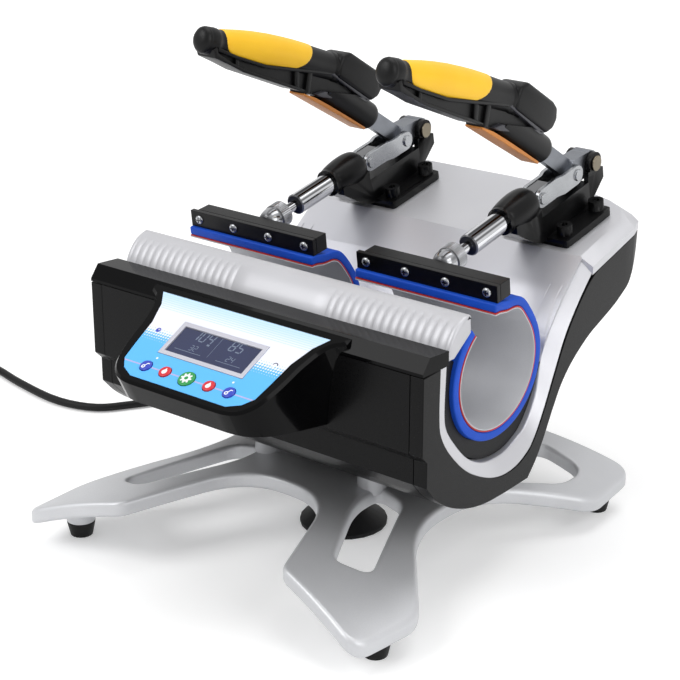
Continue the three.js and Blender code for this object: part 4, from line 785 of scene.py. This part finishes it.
def make_bar_screws(side):
    heads, slots = bmesh.new(), bmesh.new()
    for i in range(SCREWS):
        x = (i - (SCREWS - 1) / 2) * SCREW_PITCH
        add_grid(heads, [[Vector((x + radius * math.cos(a), -out, radius * math.sin(a)))
                          for a in angles(28)] for radius, out in SCREW_RUN], closed=True)
        for wide, tall in ((SLOT_LONG, SLOT_WIDE), (SLOT_WIDE, SLOT_LONG)):
            bar = bmesh.ops.create_cube(slots, size=1.0)["verts"]
            bmesh.ops.scale(slots, vec=(wide, SLOT_DEEP, tall), verts=bar)
            bmesh.ops.translate(slots, vec=(x, -SLOT_MIDDLE, 0), verts=bar)
    for name, work, look in (("bar_screws", heads, "zinc"), ("bar_screw_slots", slots, "black_steel")):
        bmesh.ops.transform(work, matrix=STRIP_FACE, verts=work.verts)
        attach(form_piece(work, f"{name}_{side}", look, side=side), f"plunger_{side}_body")


# Knurled nut, in the clamp's frame: radius and place along the axis
NUT_RUN = [
    (4.2, 97.4), (9.3, 97.4), (9.9, 98.0), (10.0, 98.4), (10.0, 107.0), (9.9, 107.5), (9.3, 108.0),
    (9.0, 108.5), (9.3, 109.0), (9.4, 110.5), (9.2, 112.5), (8.7, 114.6), (7.9, 116.6), (6.9, 118.2),
    (5.8, 119.0), (5.0, 119.1), (CLOSED, 119.1),
]
KNURL_START, KNURL_END, KNURL_DEPTH, KNURL_TEETH, TOOTH_POINTS = 98.3, 107.1, 0.35, 48, 6


def make_nut(side):
    rows = []
    for run_radius, along in NUT_RUN:
        depth = KNURL_DEPTH if KNURL_START < along < KNURL_END else 0.0
        row = []
        for angle in angles(KNURL_TEETH * TOOTH_POINTS):
            radius = run_radius - depth * abs(math.sin(KNURL_TEETH / 2 * angle))
            height = CLAMP_AXIS + radius * math.cos(angle)
            row.append(CLAMP @ Vector((radius * math.sin(angle), -along, height)))
        rows.append(row)
    work = bmesh.new()
    add_grid(work, rows, closed=True)
    piece = form_piece(work, f"knurled_nut_{side}_form", "chrome_nut", 24, side)
    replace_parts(piece, f"knurled_nut_{side}")
    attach(piece, f"plunger_{side}_body")


for make in (make_handle, make_bar_screws, make_nut):
    for side in SIDES:
        make(side)

# Front cover: its section from the front edge over the crest, then its back. Ribs run up its front
COVER = [(-64.4, 197.6), (-60.2, 206.5), (-52.7, 214.8), (-44.4, 218.9), (-38.9, 218.9)]
COVER_BACK = [(-38.2, 206.0), (-57.0, 192.8), (-64.4, 192.8)]
COVER_CORE = Vector((0, -45, 205))
COVER_PLAIN, COVER_RIM, COVER_RIBS = 43.0, 4, 15
RIB_DEPTH, RIB_POINTS, RIB_ROUND = 0.8, 10, 0.55
COVER_STEPS, RIB_TOP, RIB_FADE = 9, 15, 4
PLAIN_SPOTS = [30.0, 15.0]
END_ROUND, END_STEPS = 2.2, (0.0, 0.3, 1.0, 2.2)


def inward_ways(section):
    """The way into the cover at each point of its section."""
    found = []
    for i, point in enumerate(section):
        before, after = section[i - 1], section[(i + 1) % len(section)]
        way = Vector((0, before.z - after.z, after.y - before.y)).normalized()
        found.append(way if way.dot(COVER_CORE - point) > 0 else -way)
    return found


def make_cover():
    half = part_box("front_cover")[1].x * 1000
    section = smooth_path([(0, y, z) for y, z in COVER], COVER_STEPS)
    crest = len(section)
    section += [Vector((0, y, z)) for y, z in COVER_BACK]
    inwards = inward_ways(section)
    pitch = (half - COVER_RIM - COVER_PLAIN) / COVER_RIBS
    spots = [half - step for step in END_STEPS]
    spots += [COVER_PLAIN + pitch * i / RIB_POINTS for i in range(COVER_RIBS * RIB_POINTS, -1, -1)]
    spots += PLAIN_SPOTS
    rows = []
    for x in [-x for x in spots] + [0.0] + spots[::-1]:
        share = (abs(x) - COVER_PLAIN) / pitch
        groove = 1 - abs(math.sin(math.pi * share)) ** RIB_ROUND if 0 < share < COVER_RIBS else 0.0
        close = max(0.0, 1 - (half - abs(x)) / END_ROUND)
        round_in = END_ROUND * (1 - math.sqrt(1 - close * close))
        row = []
        for i, (point, way) in enumerate(zip(section, inwards)):
            reach = max(0.0, min(1.0, i / 3, (crest - RIB_TOP - i) / RIB_FADE))
            row.append(Vector((x, 0, 0)) + point + way * (RIB_DEPTH * groove * reach + round_in))
        rows.append(row)
    work = bmesh.new()
    add_tube(work, rows)
    stand_in(form_piece(work, "front_cover_form", "cover_paint"), "front_cover")


make_cover()

# End trims: shares of the well's radius about the mats' middle, for the outer edge (Y, Z), the inner edge
# (Y, Z) and the lean inwards
WELL = 68.85
WELL_Y, WELL_Z = 6.5, 163.18
TRIM = [
    (-1.179, 0.417, -1.05, 0.417, 0.02), (-1.193, -0.154, -1.064, -0.154, 0.02),
    (-1.136, -0.34, -1.021, -0.283, 0.02), (-0.964, -0.569, -0.864, -0.483, 0.025),
    (-0.679, -0.84, -0.593, -0.74, 0.04), (-0.379, -1.026, -0.307, -0.904, 0.06),
    (0.007, -1.183, 0.007, -0.997, 0.086), (0.336, -1.197, 0.293, -1.004, 0.086),
    (0.536, -1.147, 0.479, -0.954, 0.086), (0.707, -1.054, 0.664, -0.876, 0.086),
    (0.921, -0.769, 0.893, -0.601, 0.1), (1.136, -0.397, 1.05, -0.269, 0.14),
    (1.35, -0.04, 1.221, 0.031, 0.18), (1.621, 0.26, 1.479, 0.317, 0.2), (1.93, 0.53, 1.9, 0.65, 0.18),
]
TRIM_THICK, TRIM_STEPS, TRIM_ROUND = 10, 6, 1.0
FRONT_FACE, FRONT_Y, SIDE_TAPER = 153.1, -96.3, 0.069


def make_trim(side):
    outer = smooth_path([(row[0], row[1], row[4]) for row in TRIM], TRIM_STEPS)
    inner = smooth_path([(row[2], row[3], 0) for row in TRIM], TRIM_STEPS)
    rows = []
    for far, near in zip(outer, inner):
        face = FRONT_FACE - SIDE_TAPER * (WELL_Y + far.x * WELL - FRONT_Y)
        inset = face - far.z * WELL
        corners = [(face, far), (inset, near), (inset - TRIM_THICK, near), (face - TRIM_THICK, far)]
        rows.append([Vector((SIDES[side] * x, WELL_Y + place.x * WELL, WELL_Z + place.y * WELL))
                     for x, place in corners])
    work = bmesh.new()
    add_tube(work, rows)
    round_rims(work, 25, TRIM_ROUND)
    node = f"end_trim_{side}"
    piece = form_piece(work, f"{node}_form", "silver_paint")
    weight_normals(piece)
    stand_in(piece, node)


for side in SIDES:
    make_trim(side)

# Cast base: corners of a leg and of its slots as shares of its reach, with the reach of each rounding
CAST_X, CAST_Y, CAST_MIDDLE = 163, 176, 3
CAST_TOP, CAST_DROP, CAST_ARCH, CAST_THICK, CAST_EDGE = 58.5, 31.5, 2.4, 12.5, 3.5
CORNERS = [
    (0.245, 0.332, 0.22), (0.472, 0.875, 0.043), (0.969, 1, 0.098), (1, 0.636, 0.08), (0.635, 0.216, 0.209),
]
SLOT_FRONT = [
    (0.35, 0.114, 0.05), (0.503, 0.136, 0.05), (0.73, 0.62, 0.06), (0.57, 0.67, 0.06), (0.356, 0.284, 0.12),
]
SLOT_REAR = [
    (0.35, 0.114, 0.05), (0.503, 0.136, 0.05), (0.84, 0.6, 0.07), (0.84, 0.77, 0.09), (0.6, 0.77, 0.06),
    (0.356, 0.284, 0.12),
]
CORNER_STEPS, ARCH_STEPS = 12, 48
# Bosses over the feet and posts under the body
BOSS_X, BOSS_ROWS, BOSS_FOOT, BOSS_SUNK = 142.0, (-133.0, 150.0), 11.8, 6.5
POST_X, POST_ROWS, POST_RADIUS, POST_FOOT, POST_TOP = 50, (-16, 38), 11, 52.3, 70.9


def arch(x):
    """Height of the casting's top."""
    return CAST_TOP - CAST_DROP * (abs(x) / CAST_X) ** CAST_ARCH


def rounded_line(corners):
    """A closed line in the plan, with a curve at each corner."""
    found = []
    for i, (x, y, reach) in enumerate(corners):
        corner = Vector((x, y, 0))
        ends = []
        for other in (corners[i - 1], corners[(i + 1) % len(corners)]):
            way = Vector((other[0], other[1], 0)) - corner
            ends.append(corner + way.normalized() * min(reach, way.length / 2))
        for k in range(CORNER_STEPS + 1):
            t = k / CORNER_STEPS
            found.append(ends[0] * (1 - t) ** 2 + corner * (2 * t * (1 - t)) + ends[1] * t ** 2)
    return found


def quarter(shares, side_x, side_y):
    return [(side_x * x * CAST_X, CAST_MIDDLE + side_y * y * CAST_Y, reach * CAST_X)
            for x, y, reach in shares]


def casting_plate():
    """The flat casting with its four slots, its edges rounded."""
    outline = quarter(CORNERS, 1, -1) + quarter(CORNERS, 1, 1)[::-1]
    outline += quarter(CORNERS, -1, 1) + quarter(CORNERS, -1, -1)[::-1]
    lines = [outline]
    for side_x in (1, -1):
        lines += [quarter(SLOT_FRONT, side_x, -1), quarter(SLOT_REAR, side_x, 1)]
    curve = bpy.data.curves.new("casting", "CURVE")
    curve.dimensions = "2D"
    curve.fill_mode = "BOTH"
    curve.extrude = CAST_THICK / 2 - CAST_EDGE
    curve.bevel_depth = CAST_EDGE
    curve.bevel_resolution = 4
    curve.offset = -CAST_EDGE
    add_splines(curve, [rounded_line(line) for line in lines], closed=True)
    holder = link("casting", curve)
    mesh = bpy.data.meshes.new_from_object(holder.evaluated_get(bpy.context.evaluated_depsgraph_get()))
    bpy.data.objects.remove(holder)
    bpy.data.curves.remove(curve)
    work = bmesh.new()
    work.from_mesh(mesh)
    bpy.data.meshes.remove(mesh)
    bmesh.ops.remove_doubles(work, verts=work.verts, dist=0.01)
    return work


def add_round(work, x, y, run):
    """An upright round boss: radius and height."""
    add_grid(work, [[Vector((x + radius * math.cos(a), y + radius * math.sin(a), z)) for a in angles(40)]
                    for radius, z in run], closed=True)


def make_casting():
    work = casting_plate()
    for i in range(1, ARCH_STEPS):
        everything = work.verts[:] + work.edges[:] + work.faces[:]
        place = (CAST_X * (2 * i / ARCH_STEPS - 1), 0, 0)
        bmesh.ops.bisect_plane(work, geom=everything, plane_co=place, plane_no=(1, 0, 0))
    for vert in work.verts:
        vert.co.z += arch(vert.co.x) - CAST_THICK / 2
    boss_top = arch(BOSS_X) - BOSS_SUNK
    boss = [
        (CLOSED, BOSS_FOOT), (10.2, BOSS_FOOT), (10.8, BOSS_FOOT + 0.3), (11.0, BOSS_FOOT + 1.0),
        (12.5, boss_top), (CLOSED, boss_top),
    ]
    post = [(CLOSED, POST_FOOT), (POST_RADIUS, POST_FOOT), (POST_RADIUS, POST_TOP), (CLOSED, POST_TOP)]
    for side_x in (1, -1):
        for along in BOSS_ROWS:
            add_round(work, side_x * BOSS_X, CAST_MIDDLE + along, boss)
        for y in POST_ROWS:
            add_round(work, side_x * POST_X, y, post)
    piece = form_piece(work, "base_casting_form", "cast_base", 36)
    weight_normals(piece)
    stand_in(piece, "base_casting")


make_casting()

# Heating mats: each layer's depth under the outer face, its thickness, its look and its rounding
LAYERS = {
    "mat_jacket": (0.0, 6.6, "blue_silicone", 1.3),
    "mat_liner": (6.8, 0.8, "red_liner", 0.25),
    "mat_inner": (7.8, 0.9, "grey_silicone", 0.3),
}
MAT_Y, MAT_Z, MAT_HALF = 6.5, 163.2, 61.5
REACH_Y, REACH_Z = 53.7, 50.7
MAT_START, MAT_END, MAT_STEPS = 128, 457, 120
# Height, place in degrees and width of the rise behind the bar and of the flat under it
MAT_RISE, MAT_FLAT = (3.2, 58, 13), (-1.0, 80, 8)


def hump(degrees, height, middle, width):
    return height * math.exp(-(((degrees - middle) / width) ** 2))


def mat_point(depth, step):
    """A point of one layer's line, round from the mat's front end."""
    degrees = MAT_START + (MAT_END - MAT_START) * step / MAT_STEPS
    angle = math.radians(degrees)
    y = MAT_Y + (REACH_Y - depth) * math.cos(angle)
    z = MAT_Z + (REACH_Z - depth) * math.sin(angle)
    if degrees > 360:
        z += hump(degrees - 360, *MAT_RISE) + hump(degrees - 360, *MAT_FLAT)
    return y, z


def make_mat(side):
    for name, (depth, thick, look, edge) in LAYERS.items():
        rows = []
        for step in range(MAT_STEPS + 1):
            outer, inner = mat_point(depth, step), mat_point(depth + thick, step)
            rows.append([(-MAT_HALF, *outer), (MAT_HALF, *outer), (MAT_HALF, *inner), (-MAT_HALF, *inner)])
        work = bmesh.new()
        add_tube(work, rows)
        round_rims(work, 50, edge)
        piece = form_piece(work, f"{name}_{side}_form", look, angle=38, side=side)
        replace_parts(piece, f"{name}_{side}")
        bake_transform(piece)


for side in SIDES:
    make_mat(side)


# Panel
def make_overlay():
    """The printed film, with its own axes along the panel, which its print is laid out by."""
    piece = dress("panel_overlay", 0.2)
    piece.data.transform(PANEL.inverted())
    piece.matrix_world = PANEL
    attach(piece, nodes["panel_overlay"]["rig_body"])


# Marks: how deep they are let into the face under them, how far they stand out, and the faces' heights
MARK_SUNK, MARK_PROUD, KEY_MARK_PROUD = 0.04, 0.05, 0.06
PRINT_TOP, KEY_TOP = -0.1, 0.9


def flat_piece(name, outlines, top, proud, look, body):
    """Thin flat marks on the panel, from outlines in millimetres and the height of the face under them."""
    work = bmesh.new()
    for outline in outlines:
        heights = (top - MARK_SUNK, top + proud)
        add_tube(work, [[(x / 1000, y / 1000, z / 1000) for x, y in outline] for z in heights])
    piece = link(name, to_mesh(work, name))
    piece.matrix_world = PANEL
    paint(piece, look)
    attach(piece, body)


# Seven-segment figures: the segments of each, and the shares of its height
SEGMENTS = {"0": "abcdef", "1": "bc", "2": "abged", "3": "abgcd", "4": "fgbc", "5": "afgcd", "8": "abcdefg"}
FIGURE_WIDE, FIGURE_THICK, FIGURE_PITCH, FIGURE_LEAN = 0.5, 0.11, 0.78, 0.12
SEGMENT_GAP, SEGMENT_TIP = 0.6, 0.4


def figure(value, x, y, height):
    """A figure with its lower left corner at x, y."""
    width, half, thick = height * FIGURE_WIDE, height / 2, height * FIGURE_THICK
    bars = {
        "a": (0, height, width, height), "g": (0, half, width, half), "d": (0, 0, width, 0),
        "f": (0, half, 0, height), "b": (width, half, width, height), "e": (0, 0, 0, half),
        "c": (width, 0, width, half),
    }
    found = []
    for name in SEGMENTS[value]:
        x0, y0, x1, y1 = bars[name]
        way = Vector((x1 - x0, y1 - y0)).normalized()
        across = Vector((-way.y, way.x)) * thick / 2
        start = Vector((x0, y0)) + way * thick * SEGMENT_GAP
        end = Vector((x1, y1)) - way * thick * SEGMENT_GAP
        tip = way * thick * SEGMENT_TIP
        shape = [start - tip, start - across, end - across, end + tip, end + across, start + across]
        found.append([(x + p.x + FIGURE_LEAN * p.y, y + p.y) for p in shape])
    return found


def number(text, x, y, height):
    found = []
    for i, value in enumerate(text):
        found += figure(value, x + i * height * FIGURE_PITCH, y, height)
    return found


def rectangle(x0, y0, x1, y1):
    return [(x0, y0), (x1, y0), (x1, y1), (x0, y1)]


def disc(x, y, radius, count=18):
    return [(x + radius * math.cos(a), y + radius * math.sin(a)) for a in angles(count)]


def ring(x, y, outer, inner, count=20):
    """A ring as thin quads, each an outline of its own."""
    far, near = disc(x, y, outer, count), disc(x, y, inner, count)
    return [[far[i], far[(i + 1) % count], near[(i + 1) % count], near[i]] for i in range(count)]


# What the display shows: numbers with their lower left corner and height, and bars by two corners
NUMBERS = [("104", -24, -34, 8.5), ("85", 10, -34, 8.5), ("32", -19, -43.5, 4.6), ("24", 15, -43.5, 4.6)]
BARS = [(-8, -36, -5.8, -34.4), (-0.3, -45, 0, -24), (-30, -45.6, -6, -45.2), (8, -45.6, 30, -45.2)]


def make_figures():
    inverse = PANEL.inverted()
    glass_top = max((inverse @ v.co).z for v in nodes["display_glass"].data.vertices) * 1000
    marks = [outline for entry in NUMBERS for outline in number(*entry)]
    marks += [rectangle(*corners) for corners in BARS]
    flat_piece("display_figures", marks, glass_top, MARK_PROUD, "display_marks",
               "stand_body")


# Marks on the keys, in millimetres from a key's middle
GEAR_TEETH = 8
GEAR_TOOTH = [(3.0, -0.85), (4.5, -0.6), (4.5, 0.6), (3.0, 0.85)]
FLAME = [
    (0.1, 3.0), (1.1, 1.5), (1.3, 0.9), (1.7, 1.2), (2.1, -0.4), (1.6, -1.9), (0.3, -2.7), (-1.2, -2.3),
    (-2.0, -1.0), (-1.6, 0.4), (-0.6, 1.3),
]
DIAL_STEM = [(-0.6, -0.7), (0.1, -1.1), (1.3, 2.0), (0.6, 2.3)]
DIAL = ring(-0.9, -1.5, 1.6, 0.7, 14) + [DIAL_STEM, rectangle(0.6, 1.4, 2.6, 2.2)]
KEY_MARKS = {"inner": (20.2, [FLAME]), "outer": (38.3, DIAL)}


def make_key_marks():
    def mark(name, x, outlines):
        moved = [[(x + a, KEY_ROW + b) for a, b in outline] for outline in outlines]
        flat_piece(f"mark_{name}", moved, KEY_TOP, KEY_MARK_PROUD, "white_print",
                   f"key_{name}_body")

    gear = ring(0, 0, 3.3, 1.5)
    for angle in angles(GEAR_TEETH):
        out, aside = Vector((math.cos(angle), math.sin(angle))), Vector((-math.sin(angle), math.cos(angle)))
        gear.append([tuple(out * a + aside * b) for a, b in GEAR_TOOTH])
    mark("middle", 0, gear)
    for place, (x, outlines) in KEY_MARKS.items():
        for side, sign in SIDES.items():
            mark(f"{side}_{place}", sign * x, outlines)


# Marks on the film: outlines, look, and the height over the print
FILM_MARKS = {
    "icon_left": ([disc(-53.6, -35.4, 2.1)], "key_blue", 0),
    "icon_left_spot": ([disc(-53.2, -34.9, 0.8)], "display_frame", 0.03),
    "icon_right": ([disc(53.6, -35.6, 1.5)], "white_print", 0),
    "icon_right_arc": (ring(53.9, -35.0, 2.2, 1.5)[:10], "display_glass", 0.03),
    "lamp_spots": ([disc(-35.2, -58.6, 0.9), disc(35.2, -58.6, 0.9)], "white_print", 0),
}


def make_film_marks():
    for name, (outlines, look, lift) in FILM_MARKS.items():
        flat_piece(name, outlines, PRINT_TOP + lift, MARK_PROUD, look, "stand_body")


make_overlay()
make_figures()
make_key_marks()
make_film_marks()

# Stage and light, in metres
FLOOR_REACH, FLOOR_GREY = 8, 0.93
GLOW_NEAR, GLOW_FAR, GLOW_BASE, GLOW_GAIN = 0.7, 2.4, 0.24, 0.5
WORLD_BASE, WORLD_GLOSSY = 0.5, 0.35
LAMPS = {
    "key": ((-0.9, -1.5, 1.7), (1.2, 1.2), 22),
    "side": ((1.7, -0.2, 1.1), (1.0, 1.4), 12),
    "top": ((0.0, 0.5, 2.1), (1.6, 1.6), 16),
}
LAMP_TARGET = Vector((0, 0, 0.15))


def ray(tree, *kinds):
    """One on rays of the given kinds, and nought on others."""
    path = tree.nodes.new("ShaderNodeLightPath")
    found = Wire(tree, path.outputs[f"Is {kinds[0]} Ray"])
    for kind in kinds[1:]:
        found = found + Wire(tree, path.outputs[f"Is {kind} Ray"])
    return found.math("MINIMUM", 1.0)


def make_floor():
    """A plain floor that looks whiter with distance."""
    mesh = bpy.data.meshes.new("floor")
    corners = [(x * FLOOR_REACH, y * FLOOR_REACH, 0) for x, y in ((-1, -1), (1, -1), (1, 1), (-1, 1))]
    mesh.from_pydata(corners, [], [(0, 1, 2, 3)])
    floor = link("floor", mesh)
    found, tree, shader = blank("floor")
    coord = tree.nodes.new("ShaderNodeTexCoord")
    far = tree.nodes.new("ShaderNodeVectorMath")
    far.operation = "LENGTH"
    feed(far, {0: coord.outputs["Object"]})
    glow = Wire(tree, far.outputs["Value"]).ramp(GLOW_NEAR, GLOW_FAR) * GLOW_GAIN + GLOW_BASE
    glow = ray(tree, "Camera", "Glossy", "Transmission") * glow
    feed(shader, {
        "Base Color": (FLOOR_GREY, FLOOR_GREY, FLOOR_GREY, 1), "Roughness": 0.9,
        "Emission Color": (1, 1, 1, 1), "Emission Strength": glow,
    })
    mesh.materials.append(found)


def make_light():
    world = bpy.data.worlds.new("studio")
    scene.world = world
    world.use_nodes = True
    tree = world.node_tree
    seen = ray(tree, "Camera", "Transmission") * (1 - WORLD_BASE)
    strength = seen + ray(tree, "Glossy") * WORLD_GLOSSY + WORLD_BASE
    feed(tree.nodes["Background"], {"Color": (1, 1, 1, 1), "Strength": strength.math("MINIMUM", 1.0)})
    for name, (place, size, power) in LAMPS.items():
        data = bpy.data.lights.new(name, "AREA")
        data.shape = "RECTANGLE"
        data.size, data.size_y = size
        data.energy = power
        lamp = link(name, data)
        lamp.location = place
        lamp.rotation_euler = (LAMP_TARGET - Vector(place)).to_track_quat("-Z", "Y").to_euler()


make_floor()
make_light()
scene.view_settings.view_transform = "Standard"
